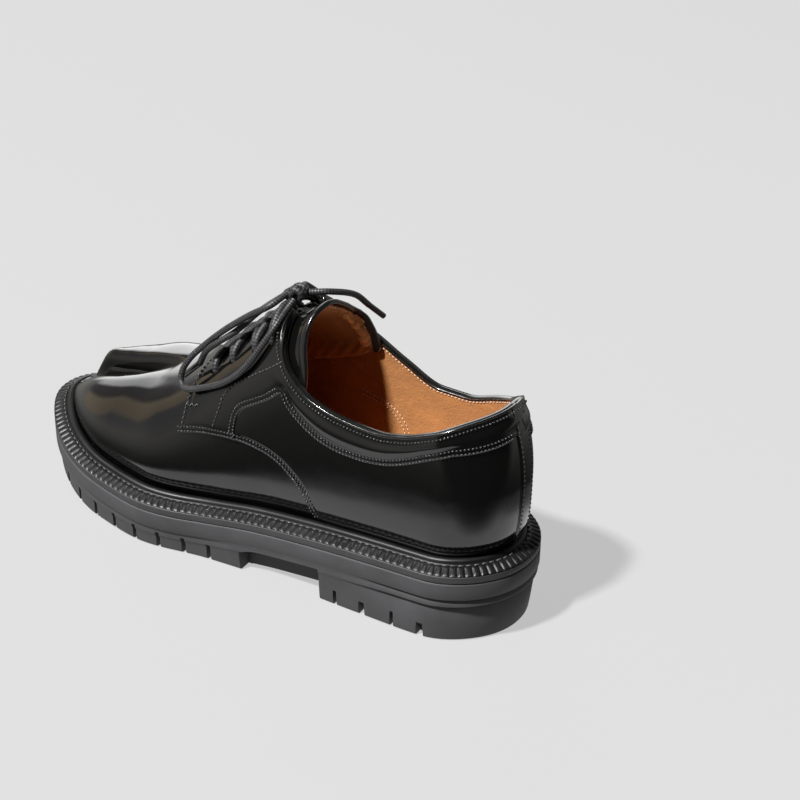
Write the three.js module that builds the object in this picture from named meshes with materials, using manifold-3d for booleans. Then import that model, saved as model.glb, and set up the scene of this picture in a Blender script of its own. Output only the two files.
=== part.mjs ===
// Lace-up derby shoe with a split toe and a lugged rubber sole, left foot.
// Millimetres. +Z up, +Y to the toe, +X to the big-toe side, origin on the floor.
import * as THREE from 'three';
import Module from 'manifold-3d';

const wasm = await Module();
wasm.setup();

// Sole: overall length, line heights and edge build.
const SOLE_LENGTH = 280;
const HEEL_LINE_Z = 33.3;
const BALL_LINE_Z = 20.8;
const TOE_SPRING = 10.9;
const TOE_ROUND = 59.5;
const HEEL_ROUND = 38.4;
const ROUND_POWER = 2.15;
const MIDSOLE_T = 3.7;
const WELT_EDGE_T = 0.6;
const WELT_BEAD_Z = 8.6;
const WELT_WIDTH = 11.1;
const SOLE_TAPER = 1.9;
const HEEL_TAPER = 3.8;
const SOLE_CHAMFER = 1.4;
const SIDE_STEP = 1.0;
const SIDE_BAND = 8.6;
const HEEL_GROOVE = 1.0;
const SEAM_GAP = 0.3;

// Outsole bottom: arch, side recesses and lug slits.
const ARCH_FRONT_Y = -4;
const HEEL_BREAST_Y = -49;
const ARCH_RISE = 5;
const RECESS_DEPTH = 9;
const RECESS_BAND = 11.6;
const LUG_SLIT_H = 9;
const LUG_SLIT_DEPTH = 11;

// Upper: wall, feather line and cleft.
const WALL = 2.0;
const FEATHER_INSET = 11.8;
const FEATHER_Z = 4.3;
const BULGE_START = 3.8;
const BAND_OUT = 1.9;
const QUARTER_OUT = 1.3;
const HEEL_FAN_Y = -98;
const TOE_FAN_Y = SOLE_LENGTH / 2 - 76;
const CLEFT_X = 14;
const CLEFT_BACK_Y = SOLE_LENGTH / 2 - 76;
const CLEFT_HALF = 3.0;
const GUSSET_T = 1.4;
const THROAT_FRONT_Y = 29;
const THROAT_HALF_FRONT = 9;
const THROAT_HALF_TOP = 12;
const TONGUE_T = 1.8;
const TONGUE_TOP_Y = -31;
const TONGUE_FOOT_Y = -39;
const TONGUE_TURN = 0.19;
const TONGUE_HALF = 29;
const INSOLE_T = 3.0;
const INSOLE_CLEAR = 1.2;
const BACKSTAY_HALF = 5.4;
const EYELET_D = 4.4;
const LACE_D = 3.0;
const LACE_CLEAR = 1.2;
const LACE_SAG = 1.6;
const ROW_SHIFT = 1.95;
const TIP_D = 2.6;
const KNOT_CENTER = [0, -13.3, 135.2];
const KNOT_RADII = [5.2, 4.4, 3.8];

// Stations and levels of the meshes.
const N_HEEL = 6;
const N_MID = 12;
const N_TOE = 9;
const TUBE_SIDES = 8;

// Half widths of the sole's outline: share of the length, lateral, medial, swing of the centre.
const PLAN = [
  { share: 0.00, lat: 35.0, med: 32.1, mid: 0.0 },
  { share: 0.13, lat: 39.2, med: 35.3, mid: 0.0 },
  { share: 0.26, lat: 39.7, med: 35.4, mid: 0.1 },
  { share: 0.42, lat: 40.7, med: 33.5, mid: 1.3 },
  { share: 0.55, lat: 44.4, med: 39.1, mid: 2.7 },
  { share: 0.69, lat: 51.9, med: 49.4, mid: 4.9 },
  { share: 0.80, lat: 48.6, med: 49.4, mid: 6.7 },
  { share: 0.90, lat: 43.0, med: 44.9, mid: 8.3 },
  { share: 1.00, lat: 33.7, med: 35.5, mid: 9.9 },
];

// Upper along the foot: ridge height, section power, side bulge, collar lean.
const LAST = [
  { y: -142, ridge: 150, power: 4.0, powerMed: 4.0, bulge: 5.0, lean: 8.0 },
  { y: -118, ridge: 150, power: 4.0, powerMed: 4.0, bulge: 5.0, lean: 6.0 },
  { y: -100, ridge: 150, power: 4.0, powerMed: 4.0, bulge: 5.0, lean: 3.0 },
  { y: -60, ridge: 149, power: 3.8, powerMed: 3.8, bulge: 4.5, lean: 1.5 },
  { y: -34, ridge: 141.5, power: 3.4, powerMed: 3.4, bulge: 4.0, lean: 0.5 },
  { y: -16, ridge: 129.5, power: 3.2, powerMed: 3.2, bulge: 4.0, lean: 0.0 },
  { y: 8, ridge: 109.5, power: 3.0, powerMed: 3.0, bulge: 4.5, lean: 0.0 },
  { y: 29, ridge: 92, power: 3.0, powerMed: 3.0, bulge: 4.5, lean: 0.0 },
  { y: 48, ridge: 79.5, power: 2.9, powerMed: 3.2, bulge: 4.5, lean: 0.0 },
  { y: 66, ridge: 71.5, power: 2.9, powerMed: 3.6, bulge: 4.0, lean: 0.0 },
  { y: 90, ridge: 65, power: 3.0, powerMed: 4.0, bulge: 3.5, lean: 0.0 },
  { y: 112, ridge: 59.5, power: 3.2, powerMed: 3.8, bulge: 3.0, lean: 0.0 },
  { y: 130, ridge: 51, power: 3.4, powerMed: 3.2, bulge: 3.0, lean: 0.0 },
];

// Dip of the four-toe lobe beside the cleft.
const DIP = [
  { y: 60, depth: 0.0 },
  { y: 74, depth: 4.5 },
  { y: 86, depth: 9.0 },
  { y: 98, depth: 10.5 },
  { y: 116, depth: 8.5 },
  { y: 130, depth: 5.0 },
];

// Rise of the blunt nose of the big-toe lobe, by distance from the toe end of the sole.
const NOSE = [
  { back: 48, rise: 0.0 },
  { back: 42, rise: 0.4 },
  { back: 38, rise: 1.0 },
  { back: 34.5, rise: 1.6 },
  { back: 30.4, rise: 2.7 },
  { back: 26, rise: 4.4 },
  { back: 24, rise: 4.5 },
  { back: 22, rise: 3.6 },
  { back: 20, rise: 2.2 },
  { back: 17, rise: 0.7 },
  { back: 13, rise: 0.0 },
];

// Fall of the tongue's big-toe side below the instep, by distance from the centre.
const TONGUE_FALL = [
  { x: -3, fall: 0.0 },
  { x: 1.3, fall: 1.4 },
  { x: 5.2, fall: 3.9 },
  { x: 8.4, fall: 5.8 },
  { x: 11.7, fall: 6.6 },
  { x: 15, fall: 4.8 },
  { x: 18.5, fall: 0.0 },
];

// Topline in side view: lateral and medial heights.
const TOPLINE = [
  { y: -150, lat: 114, med: 111 },
  { y: -126, lat: 112.5, med: 109 },
  { y: -114, lat: 109.5, med: 100.5 },
  { y: -102, lat: 104.5, med: 95 },
  { y: -88, lat: 99.5, med: 91 },
  { y: -75, lat: 97.4, med: 91.3 },
  { y: -56, lat: 98.8, med: 100.5 },
  { y: -40, lat: 102.5, med: 111 },
  { y: -31, lat: 108, med: 115.5 },
  { y: -25, lat: 114, med: 119 },
  { y: -20.5, lat: 122, med: 125 },
  { y: -18, lat: 129, med: 130 },
  { y: -17.5, lat: 160, med: 160 },
];

// How much lower the collar band ends on the medial side.
const BAND_DROP = [
  { y: -160, drop: 5 },
  { y: -115, drop: 5 },
  { y: -105, drop: 4.5 },
  { y: -90, drop: 3.5 },
  { y: -75, drop: 1.5 },
  { y: -60, drop: 0 },
  { y: 0, drop: 0 },
];

// Seam between vamp and quarter in side view, from the facing corner to the welt.
const VAMP_SEAM = [
  [32, 63.2], [20, 66.2], [9, 67.9], [0, 68.5], [-9.7, 67.5], [-21.3, 64.2], [-30.2, 57.8], [-36.5, 50.1], [-40.8, 40.9], [-44.5, 34], [-50, 16],
];

// Lower edge of the facing and collar band in side view, from the vamp seam to the heel.
const BAND_EDGE = [
  [0, 68.5], [0, 74.6], [-1.5, 82.1], [-4.1, 85.6], [-9.5, 89.1], [-17.2, 94], [-23.6, 99.4], [-27, 94.5], [-35, 88.2], [-44.6, 83.4],
  [-54, 81.2], [-64, 80.6], [-73, 81], [-83, 83], [-93.4, 87.1], [-103.3, 91.9], [-112, 95.4], [-122, 98], [-150, 101],
];

// Eyelets: position along the foot and distance from the centre line.
const EYELETS = [
  { y: 19.0, off: 22.5 },
  { y: 8.5, off: 22.0 },
  { y: -2.0, off: 21.0 },
  { y: -12.0, off: 19.5 },
];

// Bow on the lateral side: centre line of the loop and of the free end.
const LOOP_LATERAL = [
  [-14, -7.9, 133.4], [-16, 1.9, 126.7], [-18, 14.3, 116.8], [-19.5, 26, 105.6], [-22.5, 32.2, 98.4],
  [-25.4, 35.2, 91.8], [-27.4, 34.6, 87.0], [-29.6, 30.4, 85.8], [-29.6, 21.5, 88.8], [-29.8, 7.2, 96.6],
  [-28.5, -3.2, 106.6], [-24.2, -10.3, 118.6], [-19, -14.2, 127.2], [-11, -14.4, 131.4],
];
const END_LATERAL = [{ x: -7, y: -3.5, off: 8.6 }, { x: -13, y: 5, off: 8.8 }, { x: -16.5, y: 17, off: 10.5 }];
const TIP_LATERAL = [[-19.03, 29.95, 94.26], [-20, 39.1, 85.2]];

// Bow on the medial side: place in plan and distance off the upper's surface.
const LOOP_MEDIAL = [
  { x: 13, y: -12, off: 8.4 }, { x: 20, y: -11.5, off: 8.2 }, { x: 25.5, y: -7, off: 7 },
  { x: 28, y: 3, off: 5.4 }, { x: 30.5, y: 15, off: 4.8 }, { x: 32, y: 25, off: 4.8 },
  { x: 31.5, y: 33, off: 5 }, { x: 27.5, y: 34.5, off: 6 }, { x: 24.5, y: 25, off: 7.8 },
  { x: 23, y: 12, off: 8 }, { x: 18.5, y: 3, off: 8.2 }, { x: 11, y: -3.5, off: 8.6 },
];
const END_MEDIAL = [[8, -25.8, 136.0], [21.5, -31.2, 130.0], [27, -34.3, 123.8]];
const TIP_MEDIAL = [[27.2, -34.55, 123.45], [33, -40.2, 115.9]];

// Slits of the forefoot lugs on both sides, and notches of the heel.
const SLITS = [
  { y: 109, w: 2.2 }, { y: 96, w: 2.2 }, { y: 82.5, w: 2.2 }, { y: 68.5, w: 2.2 },
  { y: 54.5, w: 2.2 }, { y: 40.5, w: 2.2 }, { y: 27, w: 2.4 }, { y: 13.5, w: 2.4 },
];
const NOTCHES = [
  { y: -57.5, w: 2.0, h: 8.5 }, { y: -72, w: 3.6, h: 7.5 },
  { y: -88, w: 2.0, h: 8.5 }, { y: -102.5, w: 4.2, h: 7.5 },
];

function clamp(v, a, b) {
  return Math.min(b, Math.max(a, v));
}

function smooth(a, b, v) {
  const t = clamp((v - a) / (b - a), 0, 1);
  return t * t * (3 - 2 * t);
}

// Monotone cubic through points of a table.
function curveOf(xs, ys) {
  const n = xs.length;
  const h = [];
  const d = [];
  for (let i = 0; i < n - 1; i += 1) {
    h.push(xs[i + 1] - xs[i]);
    d.push((ys[i + 1] - ys[i]) / h[i]);
  }
  const m = new Array(n).fill(0);
  m[0] = d[0];
  m[n - 1] = d[n - 2];
  for (let i = 1; i < n - 1; i += 1) {
    if (d[i - 1] * d[i] > 0) {
      const a = 2 * h[i] + h[i - 1];
      const b = h[i] + 2 * h[i - 1];
      m[i] = (a + b) / (a / d[i - 1] + b / d[i]);
    }
  }
  return (x) => {
    if (x <= xs[0]) return ys[0];
    if (x >= xs[n - 1]) return ys[n - 1];
    let i = 0;
    while (x > xs[i + 1]) i += 1;
    const t = (x - xs[i]) / h[i];
    const a = ys[i] * (1 + 2 * t) * (1 - t) * (1 - t) + ys[i + 1] * t * t * (3 - 2 * t);
    const b = m[i] * h[i] * t * (1 - t) * (1 - t) + m[i + 1] * h[i] * t * t * (t - 1);
    return a + b;
  };
}

function column(table, key, name) {
  return curveOf(table.map((r) => r[key]), table.map((r) => r[name]));
}

const planLat = column(PLAN, 'share', 'lat');
const planMed = column(PLAN, 'share', 'med');
const planMid = column(PLAN, 'share', 'mid');
const ridgeOf = column(LAST, 'y', 'ridge');
const powerLat = column(LAST, 'y', 'power');
const powerMed = column(LAST, 'y', 'powerMed');
const bulgeOf = column(LAST, 'y', 'bulge');
const leanOf = column(LAST, 'y', 'lean');
const dipOf = column(DIP, 'y', 'depth');
const noseOf = column(NOSE.map((r) => ({ y: SOLE_LENGTH / 2 - r.back, rise: r.rise })), 'y', 'rise');
const tongueFall = column(TONGUE_FALL, 'x', 'fall');
const topLat = column(TOPLINE, 'y', 'lat');
const topMed = column(TOPLINE, 'y', 'med');
const bandDrop = column(BAND_DROP, 'y', 'drop');
const HALF = SOLE_LENGTH / 2;
const MEAN_Z = (HEEL_LINE_Z + BALL_LINE_Z) / 2;
const lineZ = curveOf(
  [0, 0.12, 0.28, 0.45, 0.62, 0.75, 1].map((s) => s * SOLE_LENGTH - HALF),
  [HEEL_LINE_Z + 1, HEEL_LINE_Z, HEEL_LINE_Z - 2.4, MEAN_Z - 1, BALL_LINE_Z,
    BALL_LINE_Z + 0.12 * TOE_SPRING, BALL_LINE_Z + TOE_SPRING],
);
const soleBottom = curveOf([-HALF, 50, 80, 110, HALF], [0, 0, 0.9, 4.4, TOE_SPRING]);

// Outline stations: index 0 at the back of the heel, COUNT at the tip of the toe.
const COUNT = N_HEEL + N_MID + N_TOE;
const stationY = [];
for (let i = 0; i <= COUNT; i += 1) {
  if (i <= N_HEEL) {
    stationY.push(-HALF + HEEL_ROUND * (1 - Math.cos((i / N_HEEL) * Math.PI / 2)));
  } else if (i < N_HEEL + N_MID) {
    const t = (i - N_HEEL) / N_MID;
    stationY.push(-HALF + HEEL_ROUND + t * (SOLE_LENGTH - HEEL_ROUND - TOE_ROUND));
  } else {
    const t = (i - N_HEEL - N_MID) / N_TOE;
    stationY.push(HALF - TOE_ROUND + TOE_ROUND * Math.sin(t * Math.PI / 2));
  }
}

function endShape(y) {
  let e = 1;
  if (y < -HALF + HEEL_ROUND) {
    const t = clamp((-HALF + HEEL_ROUND - y) / HEEL_ROUND, 0, 1);
    e = (1 - t ** ROUND_POWER) ** (1 / ROUND_POWER);
  } else if (y > HALF - TOE_ROUND) {
    const t = clamp((y - HALF + TOE_ROUND) / TOE_ROUND, 0, 1);
    e = (1 - t ** ROUND_POWER) ** (1 / ROUND_POWER);
  }
  return e;
}

// Ring of outline points, side -1 lateral then side +1 medial back to the heel.
function outerPoint(i, side) {
  const y = stationY[i];
  const s = (y + HALF) / SOLE_LENGTH;
  const w = side < 0 ? planLat(s) : planMed(s);
  return [planMid(s) + side * w * endShape(y), y];
}
const outer = [];
for (let i = 0; i <= COUNT; i += 1) outer.push(outerPoint(i, -1));
for (let i = COUNT - 1; i > 0; i -= 1) outer.push(outerPoint(i, 1));
const RING = outer.length;

const outerNormal = outer.map((p, i) => {
  const a = outer[(i + RING - 1) % RING];
  const b = outer[(i + 1) % RING];
  const dx = b[0] - a[0];
  const dy = b[1] - a[1];
  const l = Math.hypot(dx, dy);
  return [-dy / l, dx / l];
});

function insetPoint(i, inset) {
  return [outer[i][0] - outerNormal[i][0] * inset, outer[i][1] - outerNormal[i][1] * inset];
}

// The ring runs heel, lateral, toe, medial: index of the partner across the foot.
function partner(i) {
  return (RING - i) % RING;
}

function toManifold(points, tris) {
  const mesh = new wasm.Mesh({
    numProp: 3,
    vertProperties: new Float32Array(points.flat()),
    triVerts: new Uint32Array(tris.flat()),
  });
  mesh.merge();
  return new wasm.Manifold(mesh);
}

// Two triangle rows that close a ring flat, strip by strip across the foot.
function capRing(tris, base, up) {
  for (let i = 0; i < COUNT; i += 1) {
    const a = base + i;
    const b = base + i + 1;
    const c = base + partner(i + 1);
    const d = base + partner(i);
    if (a !== d) tris.push(up ? [a, d, b] : [a, b, d]);
    if (b !== c) tris.push(up ? [b, d, c] : [b, c, d]);
  }
}

function sideRows(tris, low, high) {
  for (let i = 0; i < RING; i += 1) {
    const j = (i + 1) % RING;
    tris.push([low + i, high + i, high + j]);
    tris.push([low + i, high + j, low + j]);
  }
}

// Solid from rings listed from the bottom up: each is inset(y) and height(y).
function ringSolid(levels) {
  const points = [];
  levels.forEach((level) => {
    for (let i = 0; i < RING; i += 1) {
      const y = outer[i][1];
      const p = insetPoint(i, level.inset(y));
      points.push([p[0], p[1], level.z(y)]);
    }
  });
  const tris = [];
  capRing(tris, 0, false);
  for (let k = 0; k < levels.length - 1; k += 1) sideRows(tris, k * RING, (k + 1) * RING);
  capRing(tris, (levels.length - 1) * RING, true);
  return toManifold(points, tris);
}

// Closed frame from a section that runs around the outline.
function ringFrame(levels) {
  const points = [];
  levels.forEach((level) => {
    for (let i = 0; i < RING; i += 1) {
      const p = insetPoint(i, level.inset);
      points.push([p[0], p[1], lineZ(outer[i][1]) + level.up]);
    }
  });
  const tris = [];
  for (let k = 0; k < levels.length; k += 1) {
    sideRows(tris, k * RING, ((k + 1) % levels.length) * RING);
  }
  return toManifold(points, tris);
}

// Solid through sections with the same number of points, ends closed by fans.
function sectionSolid(sections) {
  const n = sections[0].length;
  const points = sections.flat();
  const tris = [];
  for (let k = 0; k < sections.length - 1; k += 1) {
    for (let i = 0; i < n; i += 1) {
      const a = k * n + i;
      const b = k * n + ((i + 1) % n);
      tris.push([a, b, b + n]);
      tris.push([a, b + n, a + n]);
    }
  }
  const last = (sections.length - 1) * n;
  for (let i = 1; i < n - 1; i += 1) {
    tris.push([0, i + 1, i]);
    tris.push([last, last + i, last + i + 1]);
  }
  return positive(toManifold(points, tris), points, tris);
}

function positive(solid, points, tris) {
  if (solid.volume() > 0) return solid;
  return toManifold(points, tris.map((t) => [t[0], t[2], t[1]]));
}

// Prism of a side-view outline (y, z) between two x values.
function sidePrism(outline, x0, x1, turn = 0) {
  const shape = new THREE.Shape(outline.map((p) => new THREE.Vector2(p[0], p[1])));
  const geo = new THREE.ExtrudeGeometry(shape, { depth: x1 - x0, bevelEnabled: false });
  const pos = geo.getAttribute('position');
  const points = [];
  for (let i = 0; i < pos.count; i += 1) {
    const x = pos.getZ(i) + x0;
    points.push([x, pos.getX(i) - turn * x, pos.getY(i)]);
  }
  const tris = [];
  for (let i = 0; i < pos.count; i += 3) tris.push([i, i + 1, i + 2]);
  return positive(toManifold(points, tris), points, tris);
}

function boxSolid(x0, x1, y0, y1, z0, z1) {
  return sidePrism([[y0, z0], [y1, z0], [y1, z1], [y0, z1]], x0, x1);
}

// Stations of the upper: feather point and spine point in plan.
const spineX = curveOf([-HALF, -60, 0, 40, TOE_FAN_Y], [0, 1, 3, 8, CLEFT_X]);
const heelSpine = [spineX(HEEL_FAN_Y), HEEL_FAN_Y];
const toeSpine = [CLEFT_X, TOE_FAN_Y];
const feather = [];
for (let i = 0; i < RING; i += 1) feather.push(insetPoint(i, FEATHER_INSET));
const spineIndex = [];
const spinePoints = [];
for (let i = 0; i <= COUNT; i += 1) {
  const y = (feather[i][1] + feather[partner(i)][1]) / 2;
  if (y < HEEL_FAN_Y) {
    if (spinePoints.length === 0) spinePoints.push(heelSpine);
  } else if (y > TOE_FAN_Y) {
    if (spinePoints[spinePoints.length - 1] !== toeSpine) spinePoints.push(toeSpine);
  } else {
    spinePoints.push([spineX(y), y]);
  }
  spineIndex.push(spinePoints.length - 1);
}

const LOW_LEVELS = [0, 0.06, 0.13, 0.24, 0.38, 0.52, 0.66, 0.79, 0.9];
const TOP_LEVELS = [0.48, 0.22];

// Point of the outer surface: ring station i, height share or radius share.
function lastPoint(i, rise, reach) {
  const f = feather[i];
  const c = spinePoints[spineIndex[Math.min(i, RING - i)]];
  const power = i <= COUNT ? powerLat(f[1]) : powerMed(f[1]);
  const r = reach === null ? (1 - rise ** power) ** (1 / power) : reach;
  const s = reach === null ? rise : (1 - reach ** power) ** (1 / power);
  const base = lineZ(f[1]) + FEATHER_Z;
  const dx = f[0] - c[0];
  const dy = f[1] - c[1];
  const len = Math.hypot(dx, dy);
  const y = c[1] + dy * r;
  const x = c[0] + dx * r;
  const h = (ridgeOf(y) - base) * s;
  const free = Math.max(0, h - BULGE_START);
  const out = bulgeOf(f[1]) * (1 - Math.exp(-free / 6)) * r;
  const over = Math.max(0, h - 35) / 40;
  const shift = out - leanOf(f[1]) * over * over * r;
  let z = base + h;
  if (y > CLEFT_BACK_Y - 4) {
    const away = (CLEFT_X - x) / 13;
    const near = x < CLEFT_X ? Math.exp(-away * away) : Math.exp(-((x - CLEFT_X) ** 2) / 4);
    z -= dipOf(y) * near * smooth(0.3, 0.75, s);
    z += noseOf(y) * smooth(CLEFT_X, CLEFT_X + 3.5, x) * smooth(0.3, 0.75, s);
  }
  return [x + (dx / len) * shift, y + (dy / len) * shift, z];
}

function baseGrid() {
  const rows = [];
  LOW_LEVELS.forEach((rise) => {
    const row = [];
    for (let i = 0; i < RING; i += 1) row.push(lastPoint(i, rise, null));
    rows.push(row);
  });
  TOP_LEVELS.forEach((reach) => {
    const row = [];
    for (let i = 0; i < RING; i += 1) row.push(lastPoint(i, 0, reach));
    rows.push(row);
  });
  return rows;
}
const grid = baseGrid();

function unit(v) {
  const l = Math.hypot(v[0], v[1], v[2]);
  return [v[0] / l, v[1] / l, v[2] / l];
}

function cross(a, b) {
  return [a[1] * b[2] - a[2] * b[1], a[2] * b[0] - a[0] * b[2], a[0] * b[1] - a[1] * b[0]];
}

function sub(a, b) {
  return [a[0] - b[0], a[1] - b[1], a[2] - b[2]];
}

function add(a, b, t) {
  return [a[0] + b[0] * t, a[1] + b[1] * t, a[2] + b[2] * t];
}

function spineTop(k) {
  const p = spinePoints[k];
  return [p[0], p[1], ridgeOf(p[1])];
}

const gridNormal = grid.map((row, k) => row.map((p, i) => {
  const a = row[(i + RING - 1) % RING];
  const b = row[(i + 1) % RING];
  const up = k + 1 < grid.length ? grid[k + 1][i] : spineTop(spineIndex[Math.min(i, RING - i)]);
  const down = k > 0 ? grid[k - 1][i] : p;
  const n = unit(cross(sub(up, down), sub(b, a)));
  return n;
}));

function spineNormal(k) {
  const y = spinePoints[k][1];
  const slope = (ridgeOf(y + 2) - ridgeOf(y - 2)) / 4;
  return unit([0, -slope, 1]);
}

// Closed form at a distance from the outer surface, open nowhere, foot carried down.
function form(distance, drop) {
  const points = [];
  for (let i = 0; i < RING; i += 1) {
    const n = unit([gridNormal[0][i][0], gridNormal[0][i][1], 0]);
    const p = add(grid[0][i], n, distance);
    points.push([p[0], p[1], p[2] - drop]);
  }
  grid.forEach((row, k) => {
    row.forEach((p, i) => {
      let n = gridNormal[k][i];
      if (k === 0) n = unit([n[0], n[1], 0]);
      points.push(add(p, n, distance));
    });
  });
  const top = points.length;
  for (let k = 0; k < spinePoints.length; k += 1) {
    points.push(add(spineTop(k), spineNormal(k), distance));
  }
  const tris = [];
  capRing(tris, 0, false);
  for (let k = 0; k < grid.length; k += 1) sideRows(tris, k * RING, (k + 1) * RING);
  const edge = grid.length * RING;
  for (let i = 0; i < RING; i += 1) {
    const j = (i + 1) % RING;
    const a = top + spineIndex[Math.min(i, RING - i)];
    const b = top + spineIndex[Math.min(j, RING - j)];
    if (a === b) {
      tris.push([edge + i, a, edge + j]);
    } else {
      tris.push([edge + i, a, b]);
      tris.push([edge + i, b, edge + j]);
    }
  }
  return toManifold(points, tris);
}

// Side-view region above the topline, one for each side of the foot.
function collarCut(side) {
  const top = side < 0 ? topLat : topMed;
  const outline = [];
  for (const r of TOPLINE) {
    if (r.y > -17.6) break;
    outline.push([r.y, top(r.y)]);
  }
  outline.push([-17.4, 200], [-160, 200], [-160, top(-150)]);
  const x = spineX(-60);
  return side < 0 ? sidePrism(outline, -90, x + 0.01) : sidePrism(outline, x, 90);
}

// Throat between the facings, from above.
function throatCut(grow) {
  const f = THROAT_HALF_FRONT + grow;
  const t = THROAT_HALF_TOP + grow;
  const y0 = THROAT_FRONT_Y + grow;
  const c0 = spineX(THROAT_FRONT_Y);
  const c1 = spineX(-20);
  const section = (z) => [
    [c0 - f, y0 - 3, z], [c0 - f + 3, y0, z], [c0 + f - 3, y0, z], [c0 + f, y0 - 3, z],
    [c1 + t, -40, z], [c1 - t, -40, z],
  ];
  return sectionSolid([section(60), section(170)]);
}

// Blade of the cleft, grown for the inner form.
function cleftCut(grow) {
  const rows = [
    { y: CLEFT_BACK_Y + 2 - grow * 1.2, w: 0.15, z: 66.5 },
    { y: CLEFT_BACK_Y + 10, w: CLEFT_HALF * 0.5, z: 54 },
    { y: CLEFT_BACK_Y + 22, w: CLEFT_HALF * 0.85, z: 45 },
    { y: CLEFT_BACK_Y + 36, w: CLEFT_HALF, z: 41.5 },
    { y: CLEFT_BACK_Y + 48, w: CLEFT_HALF, z: 41 },
    { y: HALF + 10, w: CLEFT_HALF + 1, z: 42 },
  ];
  return sectionSolid(rows.map((r) => {
    const w = r.w + grow;
    const z = r.z - grow;
    return [
      [CLEFT_X - w * 0.5, r.y, z], [CLEFT_X + w * 0.5, r.y, z], [CLEFT_X + w, r.y, z + 3],
      [CLEFT_X + w, r.y, 110], [CLEFT_X - w, r.y, 110], [CLEFT_X - w, r.y, z + 3],
    ];
  }));
}

// Point and normal on the outer surface at a place along the foot and off the centre.
function surfaceAt(y, x) {
  let best = null;
  for (let a = 0; a < RING; a += 1) {
    const b = (a + 1) % RING;
    for (let k = 0; k < grid.length; k += 1) {
      const inner = k + 1 < grid.length;
      const upA = inner ? grid[k + 1][a] : spineTop(spineIndex[Math.min(a, RING - a)]);
      const upB = inner ? grid[k + 1][b] : spineTop(spineIndex[Math.min(b, RING - b)]);
      const quad = [grid[k][a], grid[k][b], upB, upA];
      for (const [p, q, r] of [[quad[0], quad[1], quad[2]], [quad[0], quad[2], quad[3]]]) {
        const d = (q[0] - p[0]) * (r[1] - p[1]) - (r[0] - p[0]) * (q[1] - p[1]);
        if (Math.abs(d) < 1e-9) continue;
        const u = ((x - p[0]) * (r[1] - p[1]) - (r[0] - p[0]) * (y - p[1])) / d;
        const v = ((q[0] - p[0]) * (y - p[1]) - (x - p[0]) * (q[1] - p[1])) / d;
        if (u < -1e-6 || v < -1e-6 || u + v > 1 + 1e-6) continue;
        const z = p[2] + u * (q[2] - p[2]) + v * (r[2] - p[2]);
        if (best && best.point[2] >= z) continue;
        let n = unit(cross(sub(q, p), sub(r, p)));
        if (n[2] < 0) n = [-n[0], -n[1], -n[2]];
        best = { point: [x, y, z], normal: n };
      }
    }
  }
  return best;
}

function cylinder(center, axis, radius, half, sides) {
  const geo = new THREE.CylinderGeometry(radius, radius, half * 2, sides, 1);
  const q = new THREE.Quaternion().setFromUnitVectors(
    new THREE.Vector3(0, 1, 0),
    new THREE.Vector3(...axis),
  );
  geo.applyQuaternion(q);
  geo.translate(...center);
  return fromGeometry(geo);
}

function fromGeometry(geo) {
  const g = geo.index ? geo.toNonIndexed() : geo;
  const pos = g.getAttribute('position');
  const map = new Map();
  const points = [];
  const ids = [];
  for (let i = 0; i < pos.count; i += 1) {
    const p = [pos.getX(i), pos.getY(i), pos.getZ(i)];
    const key = p.map((v) => Math.round(v * 2000)).join();
    if (!map.has(key)) {
      map.set(key, points.length);
      points.push(p);
    }
    ids.push(map.get(key));
  }
  const tris = [];
  for (let i = 0; i < ids.length; i += 3) {
    const t = [ids[i], ids[i + 1], ids[i + 2]];
    if (t[0] !== t[1] && t[1] !== t[2] && t[0] !== t[2]) tris.push(t);
  }
  return positive(toManifold(points, tris), points, tris);
}

// Round tube along points.
function tube(points, diameter, steps) {
  const path = new THREE.CatmullRomCurve3(points.map((p) => new THREE.Vector3(...p)), false, 'centripetal');
  const shape = new THREE.Shape();
  for (let i = 0; i < TUBE_SIDES; i += 1) {
    const a = (i / TUBE_SIDES) * Math.PI * 2;
    const p = [Math.cos(a) * diameter / 2, Math.sin(a) * diameter / 2];
    if (i === 0) shape.moveTo(...p);
    else shape.lineTo(...p);
  }
  shape.closePath();
  const geo = new THREE.ExtrudeGeometry(shape, { extrudePath: path, steps, bevelEnabled: false });
  return fromGeometry(geo);
}

// Outsole: side steps, arch, recesses, slits and notches.
function heelShare(y) {
  return 1 - smooth(-92, -58, y);
}

function taper(y) {
  return SOLE_TAPER + (HEEL_TAPER - SOLE_TAPER) * (1 - smooth(-130, -90, y));
}

function sideStep(y) {
  return SIDE_STEP * Math.max(heelShare(y), smooth(-10, 20, y), 0.25);
}

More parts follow.
